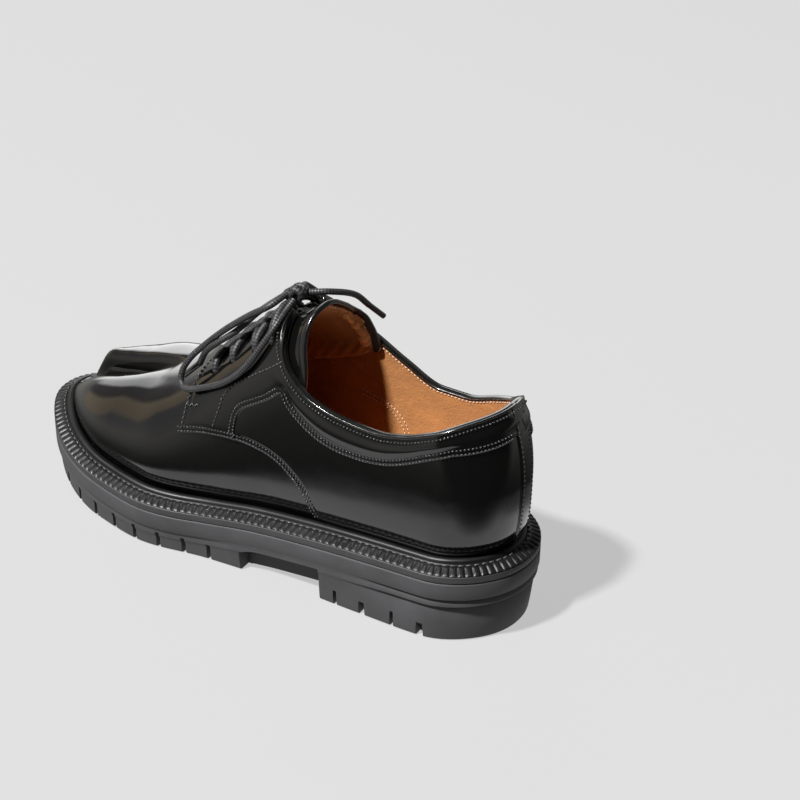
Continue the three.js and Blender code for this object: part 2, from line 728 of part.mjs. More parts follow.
function outsoleSolid() {
  let solid = ringSolid([
    { inset: (y) => taper(y) + SOLE_CHAMFER, z: (y) => soleBottom(y) },
    { inset: (y) => taper(y), z: (y) => soleBottom(y) + SOLE_CHAMFER },
    { inset: (y) => sideStep(y) + 0.5 + HEEL_GROOVE * 0.5 * heelShare(y), z: (y) => lineZ(y) - SIDE_BAND - 5.6 },
    { inset: (y) => sideStep(y) - 0.5 * heelShare(y), z: (y) => lineZ(y) - SIDE_BAND - 4.4 },
    { inset: (y) => sideStep(y) + 0.1, z: (y) => lineZ(y) - SIDE_BAND - 1.2 },
    { inset: () => 0, z: (y) => lineZ(y) - SIDE_BAND },
    { inset: () => 0, z: (y) => lineZ(y) - 0.7 },
    { inset: () => 0.5, z: (y) => lineZ(y) },
  ]);
  const wedge = [[ARCH_FRONT_Y - 2, -1], [ARCH_FRONT_Y - 2, 0.3], [HEEL_BREAST_Y, ARCH_RISE], [HEEL_BREAST_Y, -1]];
  solid = solid.subtract(sidePrism(wedge, -80, 80));
  for (const side of [-1, 1]) {
    const sections = [];
    for (let k = 0; k <= 4; k += 1) {
      const y = HEEL_BREAST_Y + (ARCH_FRONT_Y - HEEL_BREAST_Y) * k / 4;
      const s = (y + HALF) / SOLE_LENGTH;
      const edge = planMid(s) + side * (side < 0 ? planLat(s) : planMed(s));
      const deep = edge - side * RECESS_DEPTH;
      const up = lineZ(y) - RECESS_BAND;
      sections.push([[deep, y, -2], [edge + side * 20, y, -2], [edge + side * 20, y, up], [deep, y, up]]);
    }
    solid = solid.subtract(sectionSolid(sections));
    const cuts = SLITS.map((r) => ({ ...r, h: LUG_SLIT_H, d: LUG_SLIT_DEPTH }));
    cuts.push(...NOTCHES.map((r) => ({ ...r, d: 7 })));
    for (const cut of cuts) {
      const s = (cut.y + HALF) / SOLE_LENGTH;
      const e = endShape(cut.y);
      const edge = planMid(s) + side * (side < 0 ? planLat(s) : planMed(s)) * e;
      const z0 = soleBottom(cut.y);
      const outline = [
        [cut.y - cut.w / 2, z0 - 3], [cut.y + cut.w / 2, z0 - 3],
        [cut.y + cut.w * 0.32, z0 + cut.h], [cut.y - cut.w * 0.32, z0 + cut.h],
      ];
      const a = edge - side * cut.d;
      const b = edge + side * 20;
      solid = solid.subtract(sidePrism(outline, Math.min(a, b), Math.max(a, b)));
    }
  }
  return solid;
}

function midsoleSolid() {
  return ringSolid([
    { inset: () => 0.6, z: (y) => lineZ(y) + SEAM_GAP },
    { inset: () => 0.1, z: (y) => lineZ(y) + SEAM_GAP + 0.6 },
    { inset: () => 0.1, z: (y) => lineZ(y) + MIDSOLE_T - 0.3 },
    { inset: () => 0.5, z: (y) => lineZ(y) + MIDSOLE_T + SEAM_GAP - 0.3 },
  ]);
}

function weltSolid() {
  const low = MIDSOLE_T + SEAM_GAP;
  return ringFrame([
    { inset: 0.5, up: low + 0.05 },
    { inset: 0.2, up: low + WELT_EDGE_T },
    { inset: 4.9, up: low + 2.5 },
    { inset: 6.3, up: low + 2.2 },
    { inset: 7.4, up: WELT_BEAD_Z - 0.5 },
    { inset: 8.8, up: WELT_BEAD_Z },
    { inset: 10.4, up: WELT_BEAD_Z - 0.8 },
    { inset: WELT_WIDTH, up: WELT_BEAD_Z - 2.2 },
    { inset: WELT_WIDTH, up: low + 0.05 },
  ]);
}

function insoleSolid() {
  const edge = FEATHER_INSET + WALL + INSOLE_CLEAR;
  const low = MIDSOLE_T + SEAM_GAP + 0.1;
  return ringSolid([
    { inset: () => edge, z: (y) => lineZ(y) + low },
    { inset: () => edge, z: (y) => lineZ(y) + low + INSOLE_T - 0.8 },
    { inset: () => edge + 1, z: (y) => lineZ(y) + low + INSOLE_T },
  ]);
}

const collar = [collarCut(-1), collarCut(1)];
const eyeletAxes = [];
for (const side of [-1, 1]) {
  for (const e of EYELETS) {
    const s = surfaceAt(e.y, spineX(e.y) + side * e.off);
    eyeletAxes.push(s);
  }
}

function pierce(solid) {
  let out = solid;
  for (const e of eyeletAxes) {
    out = out.subtract(cylinder(e.point, e.normal, EYELET_D / 2, 9, 7));
  }
  return out;
}

function upperSolid() {
  const outside = form(0, 0).subtract(cleftCut(0));
  const inside = form(-WALL, 6).subtract(cleftCut(WALL));
  let shell = outside.subtract(inside);
  shell = shell.subtract(collar[0]).subtract(collar[1]).subtract(throatCut(0));
  return pierce(shell);
}

function closeOutline(lower) {
  const out = lower.slice();
  const last = lower[lower.length - 1];
  out.push([last[0], 220], [lower[0][0], 220]);
  return out;
}

// Side of the foot, split on the centre line, with the backstay strip kept free.
function sideHalf(side, gap) {
  const x = spineX(-100);
  return side < 0
    ? boxSolid(-90, x - BACKSTAY_HALF - gap, -160, -60, 0, 220).add(boxSolid(-90, 5, -60.01, 90, 0, 220))
    : boxSolid(x + BACKSTAY_HALF + gap, 90, -160, -60, 0, 220).add(boxSolid(5, 90, -60.01, 90, 0, 220));
}

// Lower edge of the collar band on one side of the foot.
function bandEdge(side) {
  return BAND_EDGE.map(([y, z]) => [y, side > 0 ? z - bandDrop(Math.min(0, y)) : z]);
}

function bandSolid(side) {
  const skin = form(BAND_OUT, 0).subtract(form(SEAM_GAP, 3));
  const lower = [VAMP_SEAM[0], VAMP_SEAM[1], VAMP_SEAM[2], ...bandEdge(side)];
  let piece = skin.intersect(sidePrism(closeOutline(lower), -90, 90));
  piece = piece.subtract(collar[0]).subtract(collar[1]).subtract(throatCut(0));
  return pierce(piece.intersect(sideHalf(side, SEAM_GAP)));
}

function quarterSolid(side) {
  const skin = form(QUARTER_OUT, 0).subtract(form(SEAM_GAP, 3));
  const lower = VAMP_SEAM.slice(3).concat([[-150, 16]]);
  const edge = bandEdge(side);
  const peak = edge.reduce((best, p, i) => (p[1] > edge[best][1] && p[0] > HEEL_FAN_Y ? i : best), 0);
  const upper = edge.map(([y, z], i) => {
    if (i < peak) return [y - SEAM_GAP, z - SEAM_GAP * 1.3];
    return i > peak ? [y, z - SEAM_GAP * 2] : [y - SEAM_GAP * 0.5, z - SEAM_GAP * 2.8];
  }).reverse();
  const region = lower.concat(upper.slice(0, upper.length - 1));
  let piece = skin.intersect(sidePrism(region, -90, 90));
  const clear = ringFloor(WELT_BEAD_Z + 0.7);
  piece = piece.subtract(clear).intersect(sideHalf(side, SEAM_GAP));
  return piece;
}

// Block under a height above the sole line, over the whole outline.
function ringFloor(up) {
  return ringSolid([
    { inset: () => -8, z: () => -20 },
    { inset: () => -8, z: (y) => lineZ(y) + up },
  ]);
}

function backstaySolid() {
  const skin = form(BAND_OUT, 0).subtract(form(SEAM_GAP, 3));
  const x = spineX(-100);
  const strip = boxSolid(x - BACKSTAY_HALF, x + BACKSTAY_HALF, -160, -90, 0, 220);
  return skin.intersect(strip).subtract(collar[0]).subtract(collar[1]).subtract(ringFloor(WELT_BEAD_Z + 0.7));
}

function gussetSolid() {
  const rows = [
    { y: CLEFT_BACK_Y + 12, z0: 54.5, z1: 60 },
    { y: CLEFT_BACK_Y + 22, z0: 46.5, z1: 56.5 },
    { y: CLEFT_BACK_Y + 36, z0: 42.6, z1: 54 },
    { y: CLEFT_BACK_Y + 48, z0: 42.2, z1: 51.5 },
    { y: CLEFT_BACK_Y + 56, z0: 42.4, z1: 48 },
  ];
  const t = GUSSET_T / 2;
  return sectionSolid(rows.map((r) => [
    [CLEFT_X - t, r.y, r.z0], [CLEFT_X + t, r.y, r.z0], [CLEFT_X + t, r.y, r.z1 - 0.6],
    [CLEFT_X, r.y, r.z1], [CLEFT_X - t, r.y, r.z1 - 0.6],
  ]));
}

function tongueSolid() {
  const out = WALL + 0.4;
  const skin = form(-out, 0).subtract(form(-out - TONGUE_T, 3));
  const region = [
    [THROAT_FRONT_Y + 9, 72], [THROAT_FRONT_Y + 9, 160], [TONGUE_TOP_Y + 1, 160],
    [TONGUE_TOP_Y, 136], [TONGUE_TOP_Y - 1.5, 130], [TONGUE_TOP_Y - 4, 122], [TONGUE_TOP_Y - 7, 113],
    [TONGUE_FOOT_Y, 106], [TONGUE_FOOT_Y + 2, 101], [TONGUE_FOOT_Y + 8, 98], [-10, 90], [8, 80],
  ];
  const x = spineX(-10);
  return skin.intersect(sidePrism(region, x - TONGUE_HALF, x + TONGUE_HALF, TONGUE_TURN));
}

// Point off the upper's surface.
function above(x, y, off) {
  const s = surfaceAt(y, x);
  return add(s.point, s.normal, off);
}

function throatHalf(y) {
  const t = clamp((THROAT_FRONT_Y - y) / (THROAT_FRONT_Y + 20), 0, 1);
  return THROAT_HALF_FRONT + (THROAT_HALF_TOP - THROAT_HALF_FRONT) * t;
}

// Lace strand from an eyelet of one side to an eyelet of the other.
function strand(from, to) {
  const rest = BAND_OUT + LACE_CLEAR + LACE_D / 2 + 0.35;
  const a = [spineX(from.y) + from.side * from.off, from.y + from.shift];
  const b = [spineX(to.y) + to.side * to.off, to.y + to.shift];
  const points = [];
  for (const t of [0, 0.2, 0.36, 0.5, 0.64, 0.8, 1]) {
    const x = a[0] + (b[0] - a[0]) * t;
    const y = a[1] + (b[1] - a[1]) * t;
    const open = 1 - Math.abs(x - spineX(y)) / throatHalf(y);
    points.push(above(x, y, rest - LACE_SAG * Math.max(0, open)));
  }
  return tube(points, LACE_D, 6);
}

// Crossed strands of the four rows, joined where they cross and at one end of each row.
function laceBars() {
  const end = (k, side, shift) => ({ ...EYELETS[k], side, shift: shift * ROW_SHIFT });
  const top = EYELETS.length - 1;
  let body = strand(end(0, -1, 0), end(0, 1, 1));
  for (let k = 0; k < top; k += 1) {
    const linkLeft = k % 2 === 0;
    const linkRight = k % 2 === 1;
    const last = k === top - 1;
    const a = strand(end(k, -1, linkLeft ? 0 : -1), end(k + 1, 1, last || linkRight ? 1 : 0));
    const b = strand(end(k, 1, linkRight ? 0 : -1), end(k + 1, -1, last || linkRight ? 0 : 1));
    body = body.add(a).add(b);
  }
  return body.add(strand(end(top, -1, 0), end(top, 1, -1)));
}

function knotSolid() {
  const geo = new THREE.SphereGeometry(1, 10, 7);
  geo.scale(...KNOT_RADII);
  geo.translate(...KNOT_CENTER);
  return fromGeometry(geo);
}

// Place just off the knot in a direction.
function knotExit(dir) {
  const u = unit(dir);
  const r = 1 / Math.hypot(u[0] / KNOT_RADII[0], u[1] / KNOT_RADII[1], u[2] / KNOT_RADII[2]);
  return add(KNOT_CENTER, u, r + 0.9);
}

function tip(ends) {
  const a = new THREE.Vector3(...ends[0]);
  const b = new THREE.Vector3(...ends[1]);
  const axis = b.clone().sub(a).normalize();
  const middle = a.clone().add(b).multiplyScalar(0.5);
  return cylinder(middle.toArray(), axis.toArray(), TIP_D / 2, a.distanceTo(b) / 2, TUBE_SIDES);
}

const loopLateral = [knotExit([-0.9, 0.3, 0.3]), ...LOOP_LATERAL, knotExit([-0.95, -0.3, -0.1])];
const loopMedial = [
  knotExit([0.95, 0.15, 0.1]), ...LOOP_MEDIAL.map((r) => above(r.x, r.y, r.off)), knotExit([0.55, 0.8, -0.1]),
];
const endLateral = [
  knotExit([-0.2, 0.85, -0.2]), ...END_LATERAL.map((r) => above(r.x, r.y, r.off)), [-19, 29.6, 94.6],
];
const endMedial = [knotExit([0.5, -0.85, 0.1]), ...END_MEDIAL];

const solids = {
  outsole: outsoleSolid(),
  midsole: midsoleSolid(),
  welt: weltSolid(),
  insole: insoleSolid(),
  upper: upperSolid(),
  band_lateral: bandSolid(-1),
  band_medial: bandSolid(1),
  quarter_lateral: quarterSolid(-1),
  quarter_medial: quarterSolid(1),
  backstay: backstaySolid(),
  toe_gusset: gussetSolid(),
  tongue: tongueSolid(),
  lace_bars: laceBars(),
  lace_knot: knotSolid(),
  lace_loop_lateral: tube(loopLateral, LACE_D, 21),
  lace_loop_medial: tube(loopMedial, LACE_D, 19),
  lace_end_lateral: tube(endLateral, LACE_D, 8),
  lace_end_medial: tube(endMedial, LACE_D, 6),
  lace_tip_lateral: tip(TIP_LATERAL),
  lace_tip_medial: tip(TIP_MEDIAL),
};

const LOOK = {
  outsole: [0x3a3a3b, 0.75],
  midsole: [0x2b2b2c, 0.6],
  welt: [0x1c1c1d, 0.45],
  insole: [0xb9783f, 0.7],
  upper: [0x0b0b0c, 0.2],
  band_lateral: [0x0e0e0f, 0.2],
  band_medial: [0x0e0e0f, 0.2],
  quarter_lateral: [0x0b0b0c, 0.2],
  quarter_medial: [0x0b0b0c, 0.2],
  backstay: [0x0e0e0f, 0.2],
  toe_gusset: [0x111112, 0.3],
  tongue: [0x141415, 0.3],
  lace_bars: [0x17171a, 0.8],
  lace_knot: [0x17171a, 0.8],
  lace_loop_lateral: [0x17171a, 0.8],
  lace_loop_medial: [0x17171a, 0.8],
  lace_end_lateral: [0x17171a, 0.8],
  lace_end_medial: [0x17171a, 0.8],
  lace_tip_lateral: [0x1c1c1e, 0.3],
  lace_tip_medial: [0x1c1c1e, 0.3],
};

// Indexed mesh with merged vertices and no thin triangles left from the cuts.
function meshOf(name, solid) {
  const whole = solid.decompose().sort((a, b) => b.volume() - a.volume())[0];
  const tidy = whole.simplify(name === 'lace_bars' ? 0.15 : 0.04);
  const data = tidy.getMesh();
  const geo = new THREE.BufferGeometry();
  const n = data.numProp;
  const count = data.vertProperties.length / n;
  const pos = new Float32Array(count * 3);
  for (let i = 0; i < count; i += 1) {
    for (let c = 0; c < 3; c += 1) pos[i * 3 + c] = data.vertProperties[i * n + c];
    if (name === 'tongue') pos[i * 3 + 2] -= tongueFall(pos[i * 3]) * smooth(6, 28, -pos[i * 3 + 1]);
  }
  geo.setAttribute('position', new THREE.BufferAttribute(pos, 3));
  geo.setIndex(Array.from(data.triVerts));
  const [color, roughness] = LOOK[name];
  const mat = new THREE.MeshStandardMaterial({ color, roughness, metalness: 0 });
  mat.name = `${name}_material`;
  const mesh = new THREE.Mesh(geo, mat);
  mesh.name = name;
  return mesh;
}

const group = new THREE.Group();
group.name = 'split_toe_derby';
for (const [name, solid] of Object.entries(solids)) group.add(meshOf(name, solid));

// Origin on the floor under the middle of the shoe, its cords left out.
const CORDS = [
  'lace_knot', 'lace_loop_lateral', 'lace_loop_medial', 'lace_end_lateral', 'lace_end_medial',
  'lace_tip_lateral', 'lace_tip_medial',
];
const box = new THREE.Box3();
group.children.forEach((m) => {
  if (CORDS.includes(m.name)) return;
  m.geometry.computeBoundingBox();
  box.union(m.geometry.boundingBox);
});
const mid = box.getCenter(new THREE.Vector3());
group.children.forEach((m) => {
  m.geometry.translate(-mid.x, -mid.y, -box.min.z);
  m.geometry.computeVertexNormals();
});

export default group;
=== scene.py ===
"""Lace-up derby shoe with a split toe: leather, rubber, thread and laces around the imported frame."""

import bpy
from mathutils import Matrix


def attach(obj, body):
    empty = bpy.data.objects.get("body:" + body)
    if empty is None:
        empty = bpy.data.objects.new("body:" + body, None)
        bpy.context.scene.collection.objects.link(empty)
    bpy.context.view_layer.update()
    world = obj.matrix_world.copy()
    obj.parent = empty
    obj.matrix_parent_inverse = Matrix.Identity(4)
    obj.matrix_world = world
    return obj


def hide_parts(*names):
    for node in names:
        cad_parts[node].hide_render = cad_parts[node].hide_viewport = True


bl_info = {
    "name": "Split-toe derby shoe",
    "version": (1, 0, 0),
    "blender": (4, 5, 0),
    "location": "3D View > Sidebar > Shoe",
    "description": "Builds the finished derby shoe around its packed frame",
    "category": "Add Mesh",
}

import math

import bmesh
import bpy
import numpy as np
from mathutils import Matrix

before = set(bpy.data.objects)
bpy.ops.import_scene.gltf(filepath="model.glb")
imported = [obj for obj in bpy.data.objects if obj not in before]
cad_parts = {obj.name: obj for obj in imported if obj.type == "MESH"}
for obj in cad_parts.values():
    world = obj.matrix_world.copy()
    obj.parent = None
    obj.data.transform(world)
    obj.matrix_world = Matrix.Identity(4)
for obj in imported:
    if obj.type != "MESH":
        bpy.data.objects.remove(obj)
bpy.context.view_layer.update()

BODY = "root"
MM = 0.001
CENTRE_X = 4.49

# Named sizes of the shoe, in millimetres, as in the frame.
LENGTH = 280.0
HALF = LENGTH / 2
HEEL_LINE_Z, BALL_LINE_Z, TOE_SPRING = 33.3, 20.8, 10.9
TOE_ROUND, HEEL_ROUND, ROUND_POWER = 59.5, 38.4, 2.15
MIDSOLE_T, SEAM_GAP = 3.7, 0.3
WELT_LOW = MIDSOLE_T + SEAM_GAP
WELT_BEAD_Z, WELT_WIDTH = 8.6, 11.1
FEATHER_INSET, FEATHER_Z, BULGE_START = 11.8, 4.3, 3.8
WALL, BAND_OUT, QUARTER_OUT = 2.0, 1.9, 1.3
SEAM_ROWS, SEAM_PITCH = (1.3, 3.3), 1.75
HEEL_FAN_Y, TOE_FAN_Y = -98.0, 64.0
CLEFT_X, CLEFT_BACK_Y = 14.0, 64.0
THROAT_FRONT_Y, THROAT_HALF_FRONT, THROAT_HALF_TOP = 29.0, 9.0, 12.0
FACING_TOP_Y = -17.4
BACKSTAY_HALF = 5.4
EYELET_D, LACE_D = 4.4, 3.0
N_HEEL, N_MID, N_TOE = 6, 12, 9
COUNT = N_HEEL + N_MID + N_TOE

PLAN = (
    (0.00, 35.0, 32.1, 0.0), (0.13, 39.2, 35.3, 0.0), (0.26, 39.7, 35.4, 0.1),
    (0.42, 40.7, 33.5, 1.3), (0.55, 44.4, 39.1, 2.7), (0.69, 51.9, 49.4, 4.9),
    (0.80, 48.6, 49.4, 6.7), (0.90, 43.0, 44.9, 8.3), (1.00, 33.7, 35.5, 9.9),
)
LAST = (
    (-142, 150, 4.0, 4.0, 5.0, 8.0), (-118, 150, 4.0, 4.0, 5.0, 6.0), (-100, 150, 4.0, 4.0, 5.0, 3.0),
    (-60, 149, 3.8, 3.8, 4.5, 1.5), (-34, 141.5, 3.4, 3.4, 4.0, 0.5), (-16, 129.5, 3.2, 3.2, 4.0, 0.0),
    (8, 109.5, 3.0, 3.0, 4.5, 0.0), (29, 92, 3.0, 3.0, 4.5, 0.0), (48, 79.5, 2.9, 3.2, 4.5, 0.0),
    (66, 71.5, 2.9, 3.6, 4.0, 0.0), (90, 65, 3.0, 4.0, 3.5, 0.0), (112, 59.5, 3.2, 3.8, 3.0, 0.0),
    (130, 51, 3.4, 3.2, 3.0, 0.0),
)
DIP = ((60, 0.0), (74, 4.5), (86, 9.0), (98, 10.5), (116, 8.5), (130, 5.0))
NOSE = (
    (92, 0.0), (98, 0.4), (102, 1.0), (105.5, 1.6), (109.6, 2.7), (114, 4.4), (116, 4.5), (118, 3.6), (120, 2.2),
    (123, 0.7), (127, 0.0),
)
TONGUE_FALL = ((-3, 0.0), (1.3, 1.4), (5.2, 3.9), (8.4, 5.8), (11.7, 6.6), (15, 4.8), (18.5, 0.0))
TOPLINE = (
    (-150, 114, 114), (-126, 112.5, 112.5), (-123.5, 112.1, 110), (-119, 111, 105), (-114, 109.5, 100.5),
    (-102, 104.5, 95), (-88, 99.5, 91),
    (-75, 97.4, 91.3), (-56, 98.8, 100.5), (-40, 102.5, 111), (-31, 108, 115.5), (-25, 114, 119),
    (-20.5, 122, 125), (-18, 129, 130), (-17.5, 160, 160),
)
BAND_DROP = ((-160, 5), (-115, 5), (-105, 4.5), (-90, 3.5), (-75, 1.5), (-60, 0), (0, 0))
VAMP_SEAM = (
    (32, 63.2), (20, 66.2), (9, 67.9), (0, 68.5), (-9.7, 67.5), (-21.3, 64.2), (-30.2, 57.8), (-36.5, 50.1),
    (-40.8, 40.9), (-44.5, 34), (-50, 16),
)
BAND_FRONT = ((0, 68.5), (0, 74.6), (-1.5, 82.1), (-4.1, 85.6), (-9.5, 89.1), (-17.2, 94), (-23.6, 99.4))
BAND_REAR = (
    (-23.6, 99.4), (-27, 94.5), (-35, 88.2), (-44.6, 83.4), (-54, 81.2), (-64, 80.6), (-73, 81), (-83, 83),
    (-93.4, 87.1), (-103.3, 91.9), (-112, 95.4), (-122, 98), (-150, 101),
)
EYELETS = ((19.0, 22.5), (8.5, 22.0), (-2.0, 21.0), (-12.0, 19.5))
EYELETS_LATERAL = ((19.0, 24.5), (8.5, 23.0), (-5.0, 23.0), (-14.5, 22.5))
CLEFT = (
    (64, 72, 0.1, 1.0), (70, 61, 0.6, 2.0), (78, 51, 1.5, 3.2), (88, 44.5, 2.2, 4.2), (100, 41.5, 2.6, 4.8),
    (112, 41, 2.8, 5.0), (150, 42, 3.2, 5.0),
)
SLITS = (109, 96, 82.5, 68.5, 54.5, 40.5, 27, 13.5)
NOTCHES = ((-57.5, 2.0, 8.5), (-72, 3.6, 7.5), (-88, 2.0, 8.5), (-102.5, 4.2, 7.5))


def smooth(low, high, v):
    """Soft step from 0 at low to 1 at high."""
    t = np.clip((np.asarray(v, float) - low) / (high - low), 0, 1)
    return t * t * (3 - 2 * t)


def monotone(xs, ys):
    """Monotone cubic through the points of a table."""
    xs, ys = np.asarray(xs, float), np.asarray(ys, float)
    h = np.diff(xs)
    d = np.diff(ys) / h
    m = np.zeros(len(xs))
    m[0], m[-1] = d[0], d[-1]
    for i in range(1, len(xs) - 1):
        if d[i - 1] * d[i] > 0:
            a, b = 2 * h[i] + h[i - 1], h[i] + 2 * h[i - 1]
            m[i] = (a + b) / (a / d[i - 1] + b / d[i])

    def curve(x):
        x = np.clip(np.asarray(x, float), xs[0], xs[-1])
        i = np.clip(np.searchsorted(xs, x) - 1, 0, len(xs) - 2)
        t = (x - xs[i]) / h[i]
        ends = ys[i] * (1 + 2 * t) * (1 - t) ** 2 + ys[i + 1] * t * t * (3 - 2 * t)
        return ends + h[i] * t * (1 - t) * (m[i] * (1 - t) - m[i + 1] * t)

    return curve


def column(table, k):
    """Curve through one column of a table, over its first."""
    return monotone([r[0] for r in table], [r[k] for r in table])


plan_lat, plan_med, plan_mid = (column(PLAN, k) for k in (1, 2, 3))
ridge_of, power_lat, power_med, bulge_of, lean_of = (column(LAST, k) for k in (1, 2, 3, 4, 5))
dip_of, nose_of, tongue_fall = column(DIP, 1), column(NOSE, 1), column(TONGUE_FALL, 1)
top_lat, top_med = column(TOPLINE, 1), column(TOPLINE, 2)
cleft_floor, cleft_half, cleft_round = (column(CLEFT, k) for k in (1, 2, 3))
MEAN_Z = (HEEL_LINE_Z + BALL_LINE_Z) / 2
line_z = monotone(
    [s * LENGTH - HALF for s in (0, 0.12, 0.28, 0.45, 0.62, 0.75, 1)],
    [HEEL_LINE_Z + 1, HEEL_LINE_Z, HEEL_LINE_Z - 2.4, MEAN_Z - 1, BALL_LINE_Z,
     BALL_LINE_Z + 0.12 * TOE_SPRING, BALL_LINE_Z + TOE_SPRING],
)
sole_bottom = monotone([-HALF, 50, 80, 110, HALF], [0, 0, 0.9, 4.4, TOE_SPRING])
spine_x = monotone([-HALF, -60, 0, 40, TOE_FAN_Y], [0, 1, 3, 8, CLEFT_X])


def station_y(t):
    """Place along the sole of a share t of its stations, closer together at both ends."""
    i = np.asarray(t, float) * COUNT
    heel = -HALF + HEEL_ROUND * (1 - np.cos(np.clip(i / N_HEEL, 0, 1) * math.pi / 2))
    middle = -HALF + HEEL_ROUND + (i - N_HEEL) / N_MID * (LENGTH - HEEL_ROUND - TOE_ROUND)
    toe = HALF - TOE_ROUND + TOE_ROUND * np.sin(np.clip((i - N_HEEL - N_MID) / N_TOE, 0, 1) * math.pi / 2)
    return np.where(i <= N_HEEL, heel, np.where(i < N_HEEL + N_MID, middle, toe))


def outline(u):
    """Outer edge of the sole. u runs 0 heel, lateral, 1 toe, medial, 2 heel."""
    u = np.mod(np.asarray(u, float), 2)
    lateral = u <= 1
    y = station_y(np.where(lateral, u, 2 - u))
    share = (y + HALF) / LENGTH
    back = np.clip((-HALF + HEEL_ROUND - y) / HEEL_ROUND, 0, 1)
    front = np.clip((y - HALF + TOE_ROUND) / TOE_ROUND, 0, 1)
    end = (1 - np.maximum(back, front) ** ROUND_POWER) ** (1 / ROUND_POWER)
    x = plan_mid(share) + np.where(lateral, -plan_lat(share), plan_med(share)) * end
    return np.stack([x, y], -1)


def outline_normal(u):
    """Outward direction of the sole's edge."""
    d = outline(np.asarray(u) + 2e-3) - outline(np.asarray(u) - 2e-3)
    n = np.stack([-d[..., 1], d[..., 0]], -1)
    return n / np.linalg.norm(n, axis=-1, keepdims=True)


def inset_outline(u, inset):
    """The sole's edge moved inwards."""
    return outline(u) - outline_normal(u) * np.asarray(inset, float)[..., None]


LEVEL_SPLIT, RISE_SPLIT = 0.6, 0.84


def last_points(u, q):
    """Outer surface of the upper. q runs 0 at the feather line to 1 at the centre line of the instep."""
    u, q = np.broadcast_arrays(np.asarray(u, float), np.asarray(q, float))
    f = inset_outline(u, np.full(u.shape, FEATHER_INSET))
    g = inset_outline(2 - u, np.full(u.shape, FEATHER_INSET))
    cy = np.clip((f[..., 1] + g[..., 1]) / 2, HEEL_FAN_Y, TOE_FAN_Y)
    cx = spine_x(cy)
    turn = smooth(0.985, 1.015, np.mod(u, 2))
    power = power_lat(f[..., 1]) * (1 - turn) + power_med(f[..., 1]) * turn
    split = (1 - RISE_SPLIT**power) ** (1 / power)
    low = q <= LEVEL_SPLIT
    rise = np.where(low, RISE_SPLIT * q / LEVEL_SPLIT, 0)
    reach = np.where(low, (1 - rise**power) ** (1 / power), split * (1 - q) / (1 - LEVEL_SPLIT))
    rise = np.where(low, rise, (1 - reach**power) ** (1 / power))
    base = line_z(f[..., 1]) + FEATHER_Z
    dx, dy = f[..., 0] - cx, f[..., 1] - cy
    length = np.hypot(dx, dy)
    x, y = cx + dx * reach, cy + dy * reach
    h = (ridge_of(y) - base) * rise
    out = bulge_of(f[..., 1]) * (1 - np.exp(-np.maximum(0, h - BULGE_START) / 6)) * reach
    over = np.maximum(0, h - 35) / 40
    shift = out - lean_of(f[..., 1]) * over * over * reach
    away = (CLEFT_X - x) / 13
    near = np.where(x < CLEFT_X, np.exp(-away * away), np.exp(-((x - CLEFT_X) ** 2) / 4))
    z = base + h - np.where(y > CLEFT_BACK_Y - 4, dip_of(y) * near * smooth(0.3, 0.75, rise), 0)
    z = z + nose_of(y) * smooth(CLEFT_X, CLEFT_X + 3.5, x) * smooth(0.3, 0.75, rise)
    return np.stack([x + dx / length * shift, y + dy / length * shift, z], -1)


NU, NQ = 1620, 151
GRID_U = np.arange(NU) * 2 / NU
GRID_Q = np.linspace(0, 1, NQ)
GRID = last_points(GRID_U[:, None], GRID_Q[None, :])


def grid_normals():
    """Outward normals at the points of the upper's grid."""
    du = np.roll(GRID, -1, 0) - np.roll(GRID, 1, 0)
    dq = np.gradient(GRID, axis=1)
    n = np.cross(dq, du)
    length = np.linalg.norm(n, axis=-1, keepdims=True)
    n = n / np.maximum(length, 1e-9)
    y = GRID[:, -1, 1]
    slope = (ridge_of(y + 1) - ridge_of(y - 1)) / 2
    top = np.stack([np.zeros(NU), -slope, np.ones(NU)], -1)
    top /= np.linalg.norm(top, axis=-1, keepdims=True)
    for k, w in ((1, 1.0), (2, 0.8), (3, 0.5)):
        n[:, -k] = n[:, -k] * (1 - w) + top * w
    return n / np.linalg.norm(n, axis=-1, keepdims=True)


GRID_N = grid_normals()


def sample(table, u, q):
    """Value of a grid over the upper at any (u, q)."""
    u, q = np.broadcast_arrays(np.asarray(u, float), np.asarray(q, float))
    a = np.mod(u, 2) * NU / 2
    b = np.clip(q, 0, 1) * (NQ - 1)
    i = np.floor(a).astype(int)
    j = np.minimum(np.floor(b).astype(int), NQ - 2)
    s, t = (a - i)[..., None], (b - j)[..., None]
    i, k = i % NU, (i + 1) % NU
    low = table[i, j] * (1 - s) + table[k, j] * s
    high = table[i, j + 1] * (1 - s) + table[k, j + 1] * s
    return low * (1 - t) + high * t


def normal_at(u, q):
    """Outward normal of the upper."""
    n = sample(GRID_N, u, q)
    return n / np.linalg.norm(n, axis=-1, keepdims=True)


def surface(u, q, off=0.0):
    """Point at a height off the upper's surface."""
    return sample(GRID, u, q) + normal_at(u, q) * np.asarray(off, float)[..., None]


def unit(v):
    """Vectors of length 1."""
    return v / np.maximum(np.linalg.norm(v, axis=-1, keepdims=True), 1e-12)


